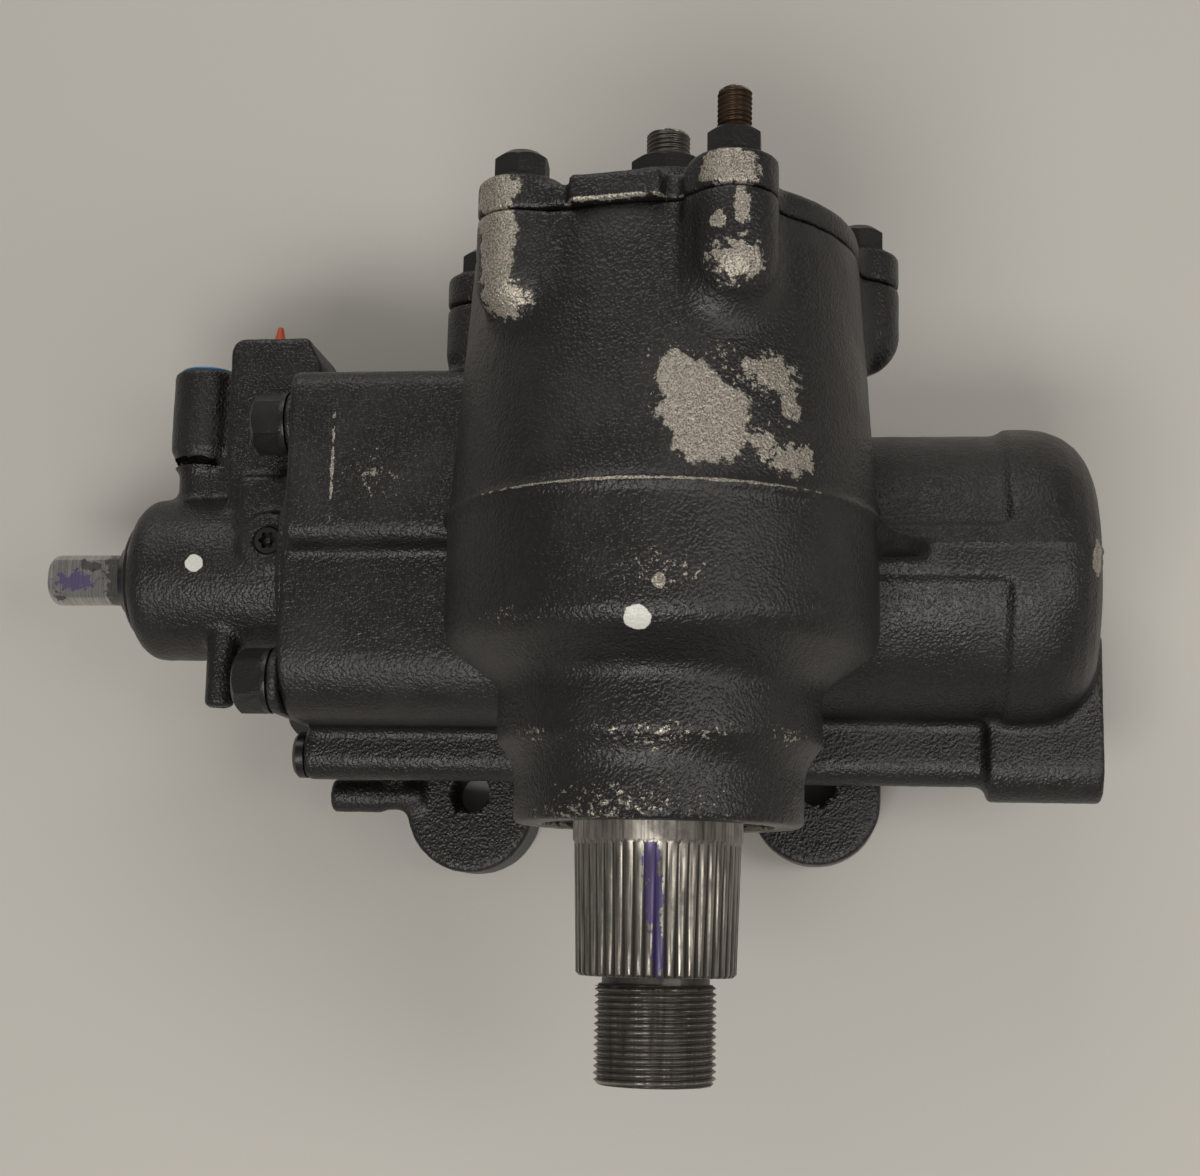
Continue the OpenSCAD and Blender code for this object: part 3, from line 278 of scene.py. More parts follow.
def parts_of(node):
    """The lowest and highest corner of each separate solid in a CAD node."""
    made = welded(node)
    boxes, seen = [], set()
    for first in made.verts:
        if first in seen:
            continue
        group, open_ends = [], [first]
        seen.add(first)
        while open_ends:
            vertex = open_ends.pop()
            group.append(np.array(vertex.co))
            for edge in vertex.link_edges:
                other = edge.other_vert(vertex)
                if other not in seen:
                    seen.add(other)
                    open_ends.append(other)
        boxes.append((Vector(np.min(group, 0)), Vector(np.max(group, 0))))
    made.free()
    return boxes


def hole_rods(node, axis, radius, start, end, ends):
    """Rods for the holes that a row of bolts goes into."""
    return [(axis, start, end, radius, (low + high) / 2, ends) for low, high in parts_of(node)]


OVER = 3 * MM
LOW_END = (OVER, 0)
HIGH_END = (0, OVER)
BOTH_ENDS = (OVER, OVER)
PAD_TOP = 24 * MM
FRAME_HOLE_R = 7.3 * MM
FRAME_HOLES = ((-77.5, -71.5), (46, -67), (0, 70))
COVER_HOLE_R = 6.2 * MM
VALVE_HOLE_R = 7.2 * MM
VALVE_HOLE_L = 25 * MM
SPOT_FACE = 1.5 * MM
seam_x = at(-128, 0, 0).x
seam_y = at(0, 86, 0).y
boss_hole_end = at(0, 61, 0).y
cylinder_bore = ("X", seam_x, at(131, 0, 0).x, 43.5 * MM, worm_axis, LOW_END)
sector_chamber = ("Y", at(0, -31.5, 0).y, seam_y, 51.5 * MM, sector_axis, HIGH_END)
output_mouth = ("Y", at(0, -88, 0).y, at(0, -30, 0).y, 37.5 * MM, sector_axis, LOW_END)
oil_gallery = ("X", at(-130, 0, 0).x, at(94.5, 0, 0).x, 5.5 * MM, at(0, -61, 52), LOW_END)
side_passage = ("X", seam_x, at(-110, 0, 0).x, 4 * MM, at(0, -73, 22), LOW_END)
boss_holes = [hole for bolts in ("cover_bolts", "cover_stud_bolt")
              for hole in hole_rods(bolts, "Y", COVER_HOLE_R, boss_hole_end, seam_y, HIGH_END)]
flange_holes = hole_rods("valve_bolts", "X", VALVE_HOLE_R, seam_x + SPOT_FACE, seam_x + VALVE_HOLE_L,
                         (OVER + SPOT_FACE, 0))
frame_holes = [("Z", 0, PAD_TOP, FRAME_HOLE_R, at(x, y, 0), BOTH_ENDS) for x, y in FRAME_HOLES]
housing_hollows = [cylinder_bore, sector_chamber, output_mouth, oil_gallery, side_passage,
                   *boss_holes, *flange_holes, *frame_holes]

FIN_HEIGHT = 0.35
FIN_WIDTH = 1.0 * MM
FIN_Y = 0.4
FIN_STEP = 2.6 * MM
FIN_CHAMBER_R = 60 * MM
FIN_FADE = 5 * MM
FIN_BELOW_AXIS = 40 * MM
FIN_LUMPS, FIN_SEED = 13 * MM, 9


def parting_flash(points, out):
    """A ragged fin where the two halves of the sand mould met, highest round the sector chamber."""
    from_axis = np.hypot(points[:, 0] - sector_axis.x, points[:, 2] - sector_axis.z)
    on_top = points[:, 2] > sector_axis.z - FIN_BELOW_AXIS
    round_chamber = np.clip((from_axis - FIN_CHAMBER_R) / FIN_FADE, 0, 1) * on_top
    line = at(0, FIN_Y, 0).y + FIN_STEP * round_chamber
    ragged = 0.8 + 0.5 * lumps(points, FIN_LUMPS, FIN_SEED)
    height = (FIN_HEIGHT + FIN_HEIGHT * round_chamber) * MM * ragged
    near = np.exp(-((points[:, 1] - line) / FIN_WIDTH) ** 2)
    on_sides = np.clip(1.4 - 2 * np.abs(out[:, 1]), 0, 1)
    return height * near * on_sides


# Boxes round the cover bosses, clear of the cover's tab, where the fillets are wide
TAB_LEFT, TAB_RIGHT = -27, 10
BOSS_END, PAST_TOP, PAST_SIDE = 85.5, 205, 90
boss_boxes = [(at(TAB_RIGHT, 44, 80), at(PAST_SIDE, BOSS_END, PAST_TOP)),
              (at(-50, 44, 80), at(TAB_LEFT, BOSS_END, PAST_TOP)),
              (at(TAB_RIGHT, 8, 118), at(PAST_SIDE, BOSS_END, PAST_TOP)),
              (at(-75, 8, 118), at(TAB_LEFT, BOSS_END, PAST_TOP))]
housing = cast_form("gear_housing_casting", "gear_housing", housing_hollows, HOUSING_FILLET, HOUSING_EDGE,
                    HOUSING_VOXEL, HOUSING_FACES_KEPT, parting_flash, ["side_cover"], BLEND_R, boss_boxes)
# Two chips broken out of the mouth's rim, as (place, radius) in millimetres
RIM_CHIPS = (((-5, -90, 176), 5.5), ((11, -90.5, 177), 7))
CHIP_STEPS = 12
for place, chip_r in RIM_CHIPS:
    centre = at(*place)
    angles = [math.pi * i / CHIP_STEPS for i in range(CHIP_STEPS)]
    ball = [(chip_r * MM * math.sin(a), centre.y - chip_r * MM * math.cos(a)) for a in angles]
    ball.append((0, centre.y + chip_r * MM))
    carve(housing, object_from("chip", lathe("Y", centre, ball, 24)))
smooth(housing)


def feed(tree, node, inputs):
    """Sets each input of a shader node to a value, or links it to an output."""
    for key, value in inputs.items():
        if isinstance(value, bpy.types.NodeSocket):
            tree.links.new(value, node.inputs[key])
        else:
            node.inputs[key].default_value = value
    return node


def put(tree, kind, inputs=(), **settings):
    """A new shader node with its settings and inputs."""
    made = tree.nodes.new(kind)
    for key, value in settings.items():
        setattr(made, key, value)
    return feed(tree, made, dict(inputs))


def sum_of(tree, operation, first, second=0.0, third=0.0):
    return put(tree, "ShaderNodeMath", {0: first, 1: second, 2: third}, operation=operation).outputs[0]


def vectors(tree, operation, first, second=(0, 0, 0)):
    return put(tree, "ShaderNodeVectorMath", {0: first, 1: second}, operation=operation).outputs


def ramp(tree, value, low, high, to_low=0.0, to_high=1.0):
    """A smooth step from to_low to to_high as the value goes from low to high."""
    return put(tree, "ShaderNodeMapRange", {"Value": value, "From Min": low, "From Max": high, "To Min": to_low,
                                            "To Max": to_high}, interpolation_type="SMOOTHSTEP").outputs[0]


def blend_colour(tree, share, first, second):
    return put(tree, "ShaderNodeMix", {0: share, 6: first, 7: second}, data_type="RGBA").outputs[2]


def noise(tree, where, scale, detail=2.0, rough=0.5):
    return put(tree, "ShaderNodeTexNoise", {"Vector": where, "Scale": scale, "Detail": detail,
                                            "Roughness": rough}).outputs["Fac"]


def place_in(tree):
    return put(tree, "ShaderNodeTexCoord").outputs["Object"]


def effect(name, inputs, outputs):
    """An empty shader group with named inputs and outputs: the group, its inputs and its output node."""
    group = bpy.data.node_groups.new(name, "ShaderNodeTree")
    for label, kind, value in inputs:
        group.interface.new_socket(label, in_out="INPUT", socket_type=kind).default_value = value
    for label, kind in outputs:
        group.interface.new_socket(label, in_out="OUTPUT", socket_type=kind)
    return group, put(group, "NodeGroupInput").outputs, put(group, "NodeGroupOutput")


def use(tree, group, **inputs):
    """Places a shader group in a material with its own values."""
    named = {key.replace("_", " ").title(): value for key, value in inputs.items()}
    return put(tree, "ShaderNodeGroup", named, node_tree=group).outputs


FLOAT, VECTOR = "NodeSocketFloat", "NodeSocketVector"

# Sand grain under paint: soft pimples of about a millimetre with a finer grain on them
STIR_SCALE, STIR_REACH = 620.0, 1.2 * MM
MOTTLE_SCALE, SPECK_SCALE = 45.0, 2000.0
cast_grain, given, result = effect("cast_grain", [("Pimple Scale", FLOAT, 1050.0), ("Fine Scale", FLOAT, 2400.0)],
                                   [("Height", FLOAT), ("Mottle", FLOAT), ("Speck", FLOAT)])
where = place_in(cast_grain)
stir = noise(cast_grain, where, STIR_SCALE, 3.0)
stirred = vectors(cast_grain, "ADD", where, sum_of(cast_grain, "MULTIPLY", stir, STIR_REACH))[0]
pimple = put(cast_grain, "ShaderNodeTexVoronoi", {"Vector": stirred, "Scale": given["Pimple Scale"],
                                                  "Smoothness": 0.8}, feature="SMOOTH_F1").outputs["Distance"]
fine = noise(cast_grain, where, given["Fine Scale"])
rise = ramp(cast_grain, pimple, 0.75, 0.1)
height = sum_of(cast_grain, "MULTIPLY_ADD", fine, 0.35, sum_of(cast_grain, "MULTIPLY", rise, stir))
feed(cast_grain, result, {"Height": height, "Mottle": noise(cast_grain, where, MOTTLE_SCALE, 4.0),
                          "Speck": noise(cast_grain, where, SPECK_SCALE, 3.0, 0.6)})

# A patch where paint is rubbed or chipped off, or dabbed on: an ellipsoid with a ragged, speckled edge
wear_patch, given, result = effect(
    "wear_patch", [("Centre", VECTOR, (0, 0, 0)), ("Half Size", VECTOR, (0.01, 0.01, 0.01)), ("Ragged", FLOAT, 0.5),
                   ("Grain", FLOAT, 330.0), ("Thin", FLOAT, 0.0)], [("Mask", FLOAT)])
where = place_in(wear_patch)
away = vectors(wear_patch, "SUBTRACT", where, given["Centre"])[0]
away = vectors(wear_patch, "DIVIDE", away, given["Half Size"])[0]
away = vectors(wear_patch, "LENGTH", away)["Value"]
away = sum_of(wear_patch, "ADD", away, given["Thin"])
speck = noise(wear_patch, where, given["Grain"], 5.0, 0.68)
speck = sum_of(wear_patch, "MULTIPLY", sum_of(wear_patch, "SUBTRACT", speck, 0.5), given["Ragged"])
away = sum_of(wear_patch, "MULTIPLY_ADD", speck, 4.0, away)
feed(wear_patch, result, {"Mask": ramp(wear_patch, away, 1.03, 0.93)})

# Paint rubbed thin along outer edges, and painted shade in the hollows where the surface bends inward
edge_wear_and_shade, given, result = effect("edge_wear_and_shade", [("Amount", FLOAT, 0.5)], [("Mask", FLOAT), ("Hollow Shade", FLOAT)])
where = place_in(edge_wear_and_shade)
bend = put(edge_wear_and_shade, "ShaderNodeNewGeometry").outputs["Pointiness"]
speck = noise(edge_wear_and_shade, where, 260.0, 6.0, 0.7)
worn = sum_of(edge_wear_and_shade, "MULTIPLY", ramp(edge_wear_and_shade, bend, 0.53, 0.6), speck)
worn = sum_of(edge_wear_and_shade, "MULTIPLY", worn, given["Amount"])
feed(edge_wear_and_shade, result, {"Mask": ramp(edge_wear_and_shade, worn, 0.26, 0.34), "Hollow Shade": ramp(edge_wear_and_shade, bend, 0.48, 0.42)})

BLACK_PAINT = (0.0060, 0.0058, 0.0053, 1)
DUSTY_PAINT = (0.013, 0.0125, 0.0112, 1)
BARE_IRON = (0.46, 0.425, 0.37, 1)
DARK_IRON = (0.15, 0.135, 0.112, 1)
WHITE_MARK = (0.63, 0.63, 0.59, 1)
# How fine the edge of a bare patch is, and how thin the patch is worn
FLAKED = {"grain": 105.0}
RUBBED = {"grain": 330.0}
SPECKLED = {"grain": 620.0, "thin": 1.22}
DABBED = {"grain": 300.0}


def any_of(tree, patches, **values):
    """One mask for a list of patches, each (centre in the gear's millimetres, half size, ragged)."""
    total = None
    for centre, half, ragged in patches:
        one = use(tree, wear_patch, centre=at(*centre), half_size=Vector(half) * MM, ragged=ragged, **values)["Mask"]
        total = sum_of(tree, "MAXIMUM", total, one) if total else one
    return total


def new_finish(name):
    made = bpy.data.materials.new(name)
    made.use_nodes = True
    return made, made.node_tree, made.node_tree.nodes["Principled BSDF"]


def painted_iron(name, flakes=(), rubbed=(), specks=(), dabs=(), edges=0.5, grain_depth=0.34):
    """Satin black paint over cast iron, flaked off in patches, rubbed off on bosses, or worn to bright specks on
    the tips of the grain, and the white dabs of an inspector."""
    made, tree, shader = new_finish(name)
    grain = use(tree, cast_grain)
    bare = use(tree, edge_wear_and_shade, amount=edges)["Mask"]
    for patches, values in ((flakes, FLAKED), (rubbed, RUBBED), (specks, SPECKLED)):
        if patches:
            bare = sum_of(tree, "MAXIMUM", bare, any_of(tree, patches, **values))
    paint = blend_colour(tree, ramp(tree, grain["Mottle"], 0.45, 0.75), BLACK_PAINT, DUSTY_PAINT)
    iron = blend_colour(tree, ramp(tree, grain["Speck"], 0.34, 0.62), DARK_IRON, BARE_IRON)
    colour = blend_colour(tree, bare, paint, iron)
    if dabs:
        colour = blend_colour(tree, any_of(tree, dabs, **DABBED), colour, WHITE_MARK)
    gloss = ramp(tree, grain["Mottle"], 0.35, 0.7, 0.33, 0.44)
    raised = sum_of(tree, "SUBTRACT", grain["Height"], sum_of(tree, "MULTIPLY", bare, 0.2))
    bump = put(tree, "ShaderNodeBump", {"Strength": 0.9, "Distance": grain_depth * MM, "Height": raised})
    feed(tree, shader, {"Base Color": colour, "Metallic": sum_of(tree, "MULTIPLY", bare, 0.75),
                        "Roughness": sum_of(tree, "MULTIPLY_ADD", bare, 0.08, gloss), "Normal": bump.outputs[0]})
    return made


def dress(piece, body, slot, material, *replaced):
    """Gives a new piece its finish and the CAD body it moves with, and hides the CAD nodes it stands for."""
    piece.data.materials.clear()
    piece.data.materials.append(material)
    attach(piece, body)
    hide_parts(*replaced)
    return piece


# Bare places on the housing, as (centre, half size, ragged) in millimetres: flakes off the chamber's crown and
# the cylinder's end, rubbed spots in the mouth, on the front bosses and on the fin, a scratch on the block, and
# specks round these and on the waist, the neck and the rim
housing_flakes = [
    ((17, 21, 193), (12.5, 15, 14), 0.42), ((9, 33, 194), (6, 7, 8), 0.4), ((135, 0.4, 98), (3, 5, 6), 0.5),
    ((5, -25, 197), (2, 2.5, 5), 0.4)]
housing_rubbed = [
    ((0, -60, 130), (37, 100, 37), 0.02), ((-45, 74, 186), (6.5, 21, 7), 0.4), ((-43, 60, 185), (8, 6, 9), 0.6),
    ((-47, 84, 186), (8, 5, 10), 0.4), ((27, 80, 202), (2.4, 6, 4), 0.6), ((20, 76, 202), (2.4, 3, 4), 0.6),
    ((26, 64, 201), (8, 6, 7), 0.9), ((-110, 28, 112), (0.45, 14, 2), 1.3), ((0, 3.4, 190), (48, 0.45, 20), 0.8),
    ((36, 36, 183), (7, 5.5, 8), 0.85), ((40, 28, 181), (3, 5, 8), 0.9), ((31, 38, 186), (5, 2, 7), 1.0),
    ((40, 12, 181), (9, 4, 8), 0.95), ((33, 16, 186), (4, 3, 7), 1.0)]
housing_specks = [
    ((25, 64, 200), (14, 12, 10), 1.0), ((4, -64.5, 178), (34, 5, 12), 1.9), ((-34, -64, 168), (18, 4, 14), 1.7),
    ((-8, -83, 171), (36, 7, 14), 2.1), ((-36, -32, 180), (22, 4, 14), 1.6), ((4, -22, 196), (30, 11, 10), 1.35),
    ((20, 30, 190), (34, 26, 18), 1.5), ((-44, 60, 184), (11, 10, 12), 0.9), ((-95, 25, 112), (34, 26, 3), 1.02),
    ((0, 2.6, 190), (62, 1.6, 30), 0.9), ((40, -63, 160), (12, 4, 14), 1.7), ((-20, -86, 169), (26, 6, 16), 2.3),
    ((2, -66, 177), (16, 4, 12), 2.2)]
housing_dabs = [((-1, -35.2, 194.2), (3.9, 3.9, 3.9), 0.12)]
housing_paint = painted_iron("black_painted_housing", housing_flakes, housing_rubbed, housing_specks, housing_dabs)
dress(housing, "housing", "painted_casting", housing_paint, "gear_housing")

# Rack piston and ball nut: a carburised steel piston, ground outside, with a rack cut in one side. The ball
# guide is clamped on it by a strap and two screws, the end is plugged, and a ring with a rubber backing seals it.
POLISHED = (0.55, 0.54, 0.52, 1)
# Dark of oily dirt, also used as painted shade in hollows and grooves
GRIME_AND_SHADE = (0.022, 0.019, 0.016, 1)
VIOLET_INK = (0.034, 0.021, 0.115, 1)
# Scales of the marks of a tool that went along X or Y, and of marks drawn out along Y
ALONG_X = (2200, 60, 60)
ALONG_Y = (60, 2200, 60)
DRAWN_ON_Y = (900, 45, 900)

# Lines left by a tool, drawn out along one direction
tool_marks, given, result = effect("tool_marks", [("Stretch", VECTOR, ALONG_Y)], [("Lines", FLOAT), ("Stain", FLOAT)])
where = place_in(tool_marks)
drawn = vectors(tool_marks, "MULTIPLY", where, given["Stretch"])[0]
feed(tool_marks, result, {"Lines": noise(tool_marks, drawn, 1.0, 4.0, 0.6),
                          "Stain": noise(tool_marks, where, 85.0, 6.0, 0.65)})

# Painted shade, with some dirt, in the grooves round an axis along Y, deeper than a tapered crest
groove_shade_and_dirt, given, result = effect("groove_shade_and_dirt", [("Centre", VECTOR, (0, 0, 0)), ("Crest", FLOAT, 0.025),
                                                    ("Taper", FLOAT, 0.0)], [("Depth", FLOAT), ("Along", FLOAT)])
away = vectors(groove_shade_and_dirt, "SUBTRACT", place_in(groove_shade_and_dirt), given["Centre"])[0]
part = put(groove_shade_and_dirt, "ShaderNodeSeparateXYZ", {0: away}).outputs
squares = sum_of(groove_shade_and_dirt, "MULTIPLY", part["Z"], part["Z"])
squares = sum_of(groove_shade_and_dirt, "MULTIPLY_ADD", part["X"], part["X"], squares)
crest = sum_of(groove_shade_and_dirt, "MULTIPLY_ADD", part["Y"], given["Taper"], given["Crest"])
depth = sum_of(groove_shade_and_dirt, "SUBTRACT", crest, sum_of(groove_shade_and_dirt, "SQRT", squares))
feed(groove_shade_and_dirt, result, {"Depth": depth, "Along": part["Y"]})


def bare_steel(name, bright, dull, rough, stretch=ALONG_X, grime_and_shade=0.25, inks=(), overspray=(), polished=(),
               grooves=()):
    """Turned or ground metal with tool marks, stains, painted shade in its hollows, ink marks and paint overspray.
    Each of the grooves is (centre, crest radius, taper, where it starts along Y, depth), and is darkened inside with
    painted shade and some grime."""
    made, tree, shader = new_finish(name)
    marks = use(tree, tool_marks, stretch=stretch)
    dirt_and_shade = sum_of(tree, "MULTIPLY", ramp(tree, marks["Stain"], 0.5, 0.68), grime_and_shade)
    # Painted shade in the hollows, where the surface bends inward
    hollow_shade = sum_of(tree, "MULTIPLY", use(tree, edge_wear_and_shade)["Hollow Shade"], min(1.0, 3 * grime_and_shade))
    dirt_and_shade = sum_of(tree, "MAXIMUM", dirt_and_shade, hollow_shade)
    # Painted shade, with some grime, in the grooves below their crests
    for centre, crest, taper, start, deep in grooves:
        groove = use(tree, groove_shade_and_dirt, centre=centre, crest=crest, taper=taper)
        inside = sum_of(tree, "MULTIPLY", ramp(tree, groove["Along"], start, start + MM),
                        ramp(tree, groove["Depth"], 0.15 * deep, 0.75 * deep, 0.0, 0.93))
        dirt_and_shade = sum_of(tree, "MAXIMUM", dirt_and_shade, inside)
    colour = blend_colour(tree, ramp(tree, marks["Lines"], 0.3, 0.7), dull, bright)
    if polished:
        colour = blend_colour(tree, any_of(tree, polished), colour, POLISHED)
    colour = blend_colour(tree, dirt_and_shade, colour, GRIME_AND_SHADE)
    covered_and_shaded = dirt_and_shade
    for patches, coat in ((inks, VIOLET_INK), (overspray, BLACK_PAINT)):
        if patches:
            over = sum_of(tree, "MULTIPLY", any_of(tree, patches, grain=420.0), 0.85)
            colour = blend_colour(tree, over, colour, coat)
            covered_and_shaded = sum_of(tree, "MAXIMUM", covered_and_shaded, over)
    bump = put(tree, "ShaderNodeBump", {"Strength": 0.5, "Distance": 0.03 * MM, "Height": marks["Lines"]})
    feed(tree, shader, {"Base Color": colour, "Metallic": sum_of(tree, "MULTIPLY_ADD", covered_and_shaded, -0.9, 0.95),
                        "Roughness": ramp(tree, marks["Stain"], 0.35, 0.7, rough - 0.06, rough + 0.1),
                        "Normal": bump.outputs[0]})
    return made


def finish(material, *nodes):
    """Puts a finish on CAD nodes whose shape stays as it is."""
    for node in nodes:
        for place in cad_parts[node].material_slots:
            place.material = material


machined = bare_steel("machined_steel", (0.40, 0.39, 0.37, 1), (0.27, 0.26, 0.25, 1), 0.32)
polished_race = bare_steel("polished_race", (0.58, 0.58, 0.57, 1), (0.46, 0.46, 0.45, 1), 0.16, grime_and_shade=0.1)
pressed_steel = bare_steel("pressed_steel", (0.30, 0.29, 0.28, 1), (0.20, 0.195, 0.19, 1), 0.36)
finish(machined, "rack_piston", "piston_end_plug", "clamp_screws")
finish(pressed_steel, "ball_return_guide", "guide_clamp")
finish(polished_race, "recirculating_balls")


SKIN_SCALE, CLOUD_SCALE = 900.0, 70.0


def moulded(name, low, high, rough, depth=0.04):
    """Moulded rubber or plastic: two close shades and a fine matt skin."""
    made, tree, shader = new_finish(name)
    where = place_in(tree)
    skin = noise(tree, where, SKIN_SCALE, 3.0)
    cloud = noise(tree, where, CLOUD_SCALE, 4.0)
    bump = put(tree, "ShaderNodeBump", {"Strength": 0.4, "Distance": depth * MM, "Height": skin})
    feed(tree, shader, {"Base Color": blend_colour(tree, ramp(tree, cloud, 0.35, 0.68), low, high),
                        "Roughness": ramp(tree, cloud, 0.3, 0.7, rough - 0.05, rough + 0.08),
                        "Normal": bump.outputs[0]})
    return made


ring_plastic = moulded("ring_plastic", (0.045, 0.030, 0.020, 1), (0.085, 0.055, 0.035, 1), 0.42)
soft_rubber = moulded("soft_rubber", (0.0075, 0.0075, 0.0080, 1), (0.015, 0.015, 0.015, 1), 0.42)
finish(ring_plastic, "piston_ring", "sleeve_rings")
finish(soft_rubber, "piston_backup_ring", "cover_o_ring", "valve_o_ring")

# Worm, valve sleeve and torsion bar: ground alloy steel that turns in a ball bearing behind the valve housing.
# The sleeve is pinned on the worm head and its ports line up with the slots of the input shaft.
finish(machined, "worm_shaft", "valve_sleeve", "sleeve_drive_pin", "torsion_bar", "torsion_bar_pin")
finish(polished_race, "worm_bearing_inner_race", "worm_bearing_outer_race", "worm_bearing_balls")
finish(pressed_steel, "bearing_lock_ring")

# Sector shaft: a forged alloy steel shaft with a toothed sector, a ground journal, a serrated taper for the
# steering arm and a rolled thread for its nut. It is left bare, oiled and stained, with a streak of ink.
THREAD_PITCH = 2.0 * MM
THREAD_DEPTH = 1.15 * MM
THREAD_R = 18 * MM
THREAD_L = 28 * MM
THREAD_SUNK = 0.8 * MM
THREAD_ROWS = 12
GROOVE_SHARE, FLANK_SHARE = 0.9, 0.75
CUTTER_R = 22 * MM
DRILL_R, DRILL_L = 2.2 * MM, 5 * MM
CONE_R, CONE_L = 5 * MM, 3 * MM
CONE_OVER = 0.2 * MM
SHAFT_ANGLE = math.radians(24)


def screw_rod(axis, start, end, radius, pitch, depth, centre, sides):
    """A closed rod with a screw thread, its crests and roots a little flat, chamfered at both ends."""
    made = bmesh.new()
    steps = round(abs(end - start) / pitch * THREAD_ROWS)
    rings = []
    for i in range(steps + 1):
        along = start + (end - start) * i / steps
        from_end = abs(end - start) * min(i, steps - i) / steps
        ring = []
        for j in range(sides):
            phase = (along / pitch - j / sides) % 1.0
            groove = min(1.0, max(0.0, (GROOVE_SHARE - abs(2 * phase - 1)) / FLANK_SHARE))
            size = min(radius - depth * groove, radius - 1.1 * depth + from_end)
            ring.append(made.verts.new(on_axis(axis, centre, size, 2 * math.pi * j / sides, along)))
        rings.append(ring)
    for one, two in zip(rings, rings[1:]):
        for j in range(sides):
            made.faces.new((one[j - 1], one[j], two[j], two[j - 1]))
    made.faces.new(rings[0])
    made.faces.new(rings[-1])
    return made


shaft_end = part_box("sector_shaft")[0].y
thread_top = shaft_end + THREAD_L
shaft = solid_of("sector_shaft", "sector_shaft_forging")
carve(shaft, object_from("cutter", rod("Y", shaft_end - OVER, thread_top, CUTTER_R, sector_axis)))
thread = screw_rod("Y", shaft_end, thread_top + THREAD_SUNK, THREAD_R, THREAD_PITCH, THREAD_DEPTH, sector_axis, 96)
carve(shaft, object_from("thread", thread), "UNION")
centre_drill = [(0, shaft_end + DRILL_L), (DRILL_R, shaft_end + DRILL_L), (DRILL_R, shaft_end + CONE_L),
                (CONE_R, shaft_end - CONE_OVER), (0, shaft_end - CONE_OVER)]
carve(shaft, object_from("centre_drill", lathe("Y", sector_axis, centre_drill, 48)))
smooth(shaft, SHAFT_ANGLE)
# The grooves of the serrations and the nut thread get painted shade, with some grime
serrations = (at(0, -93, 130), 25 * MM, 1 / 32, -39.5 * MM, 0.6 * MM)
nut_thread = (at(0, -163, 130), THREAD_R, 0.0, -MM, THREAD_DEPTH)
shaft_ink = [((0.2, -99, 155), (2.6, 6, 4), 0.55), ((1.2, -110, 154.5), (2.8, 9, 4), 0.6),
             ((2.6, -124, 154), (1.8, 9, 4), 0.8)]
shaft_steel = bare_steel("oiled_shaft_steel", (0.34, 0.32, 0.285, 1), (0.12, 0.11, 0.098, 1), 0.34, DRAWN_ON_Y, 0.6,
                         inks=shaft_ink, grooves=[serrations, nut_thread])
dress(shaft, "sector", "bright_steel", shaft_steel, "sector_shaft")
finish(pressed_steel, "adjuster_retainer")

# Sector bearings and seals: a needle shell pressed in the housing, an oil seal and a dust seal with a soft lip
# on the shaft, and a round snap ring in the mouth that holds them in.
bronze = bare_steel("bearing_bronze", (0.43, 0.27, 0.10, 1), (0.31, 0.18, 0.065, 1), 0.3)
finish(polished_race, "lower_needle_bearing")
finish(soft_rubber, "sector_oil_seal")
finish(pressed_steel, "sector_snap_ring")
low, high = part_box("sector_dust_seal")
SEAL_IN = 25.6 * MM
SEAL_OUT = 34.95 * MM
dust_lip = [(SEAL_IN, low.y), (SEAL_IN + 0.9 * MM, low.y - 0.5 * MM), (SEAL_IN + 2.1 * MM, low.y + 0.3 * MM),
            (SEAL_IN + 3.2 * MM, low.y + 1.5 * MM), (SEAL_OUT - 3.4 * MM, low.y + 1.5 * MM),
            (SEAL_OUT - 2.2 * MM, low.y + 0.4 * MM), (SEAL_OUT - 0.5 * MM, low.y), (SEAL_OUT, low.y + 0.5 * MM),
            (SEAL_OUT, high.y), (SEAL_IN, high.y)]
dust_seal = smooth(object_from("sector_dust_lip", lathe("Y", sector_axis, dust_lip)))
dress(dust_seal, "housing", "black_rubber", soft_rubber, "sector_dust_seal")

# Side cover: an iron casting that closes the sector chamber and carries the upper bush and the adjuster.
# It has an ear for each bolt and a tab at the front, and it is painted with the housing.
COVER_VOXEL = 0.85 * MM
COVER_FILLET = 2.2 * MM
COVER_EDGE = 0.8 * MM
COVER_FACES_KEPT = 0.5
EAR_LOW, EAR_HIGH = 86.4, 93.8
ear_hole_end = at(0, 97, 0).y
bush_bore = ("Y", at(0, 45, 0).y, at(0, 82, 0).y, 29 * MM, sector_axis, LOW_END)
adjuster_hole = ("Y", at(0, 77, 0).y, at(0, 114, 0).y, 8 * MM, sector_axis, HIGH_END)
ear_holes = [hole for bolts in ("cover_bolts", "cover_stud_bolt")
             for hole in hole_rods(bolts, "Y", COVER_HOLE_R, seam_y, ear_hole_end, HIGH_END)]
cover_hollows = [bush_bore, adjuster_hole, *ear_holes]
ear_boxes = [(at(-90, EAR_LOW, 60), at(TAB_LEFT, EAR_HIGH, 215)),
             (at(TAB_RIGHT, EAR_LOW, 60), at(90, EAR_HIGH, 215))]
cover = cast_form("side_cover_casting", "side_cover", cover_hollows, COVER_FILLET, COVER_EDGE, COVER_VOXEL,
                  COVER_FACES_KEPT, None, ["gear_housing"], BLEND_R, ear_boxes)
cover_rubbed = [((-46, 91.5, 186), (8, 6.5, 10), 0.35), ((23.5, 91, 201.5), (9.5, 5.5, 8), 0.5),
                ((-12, 86.7, 191), (17, 0.6, 6), 0.6)]
cover_specks = [((0, 96, 180), (40, 3, 26), 1.3), ((24, 92, 200), (14, 7, 10), 0.9)]
cover_paint = painted_iron("black_painted_cover", (), cover_rubbed, cover_specks)
dress(cover, "housing", "painted_casting", cover_paint, "side_cover")
finish(bronze, "cover_bushing")

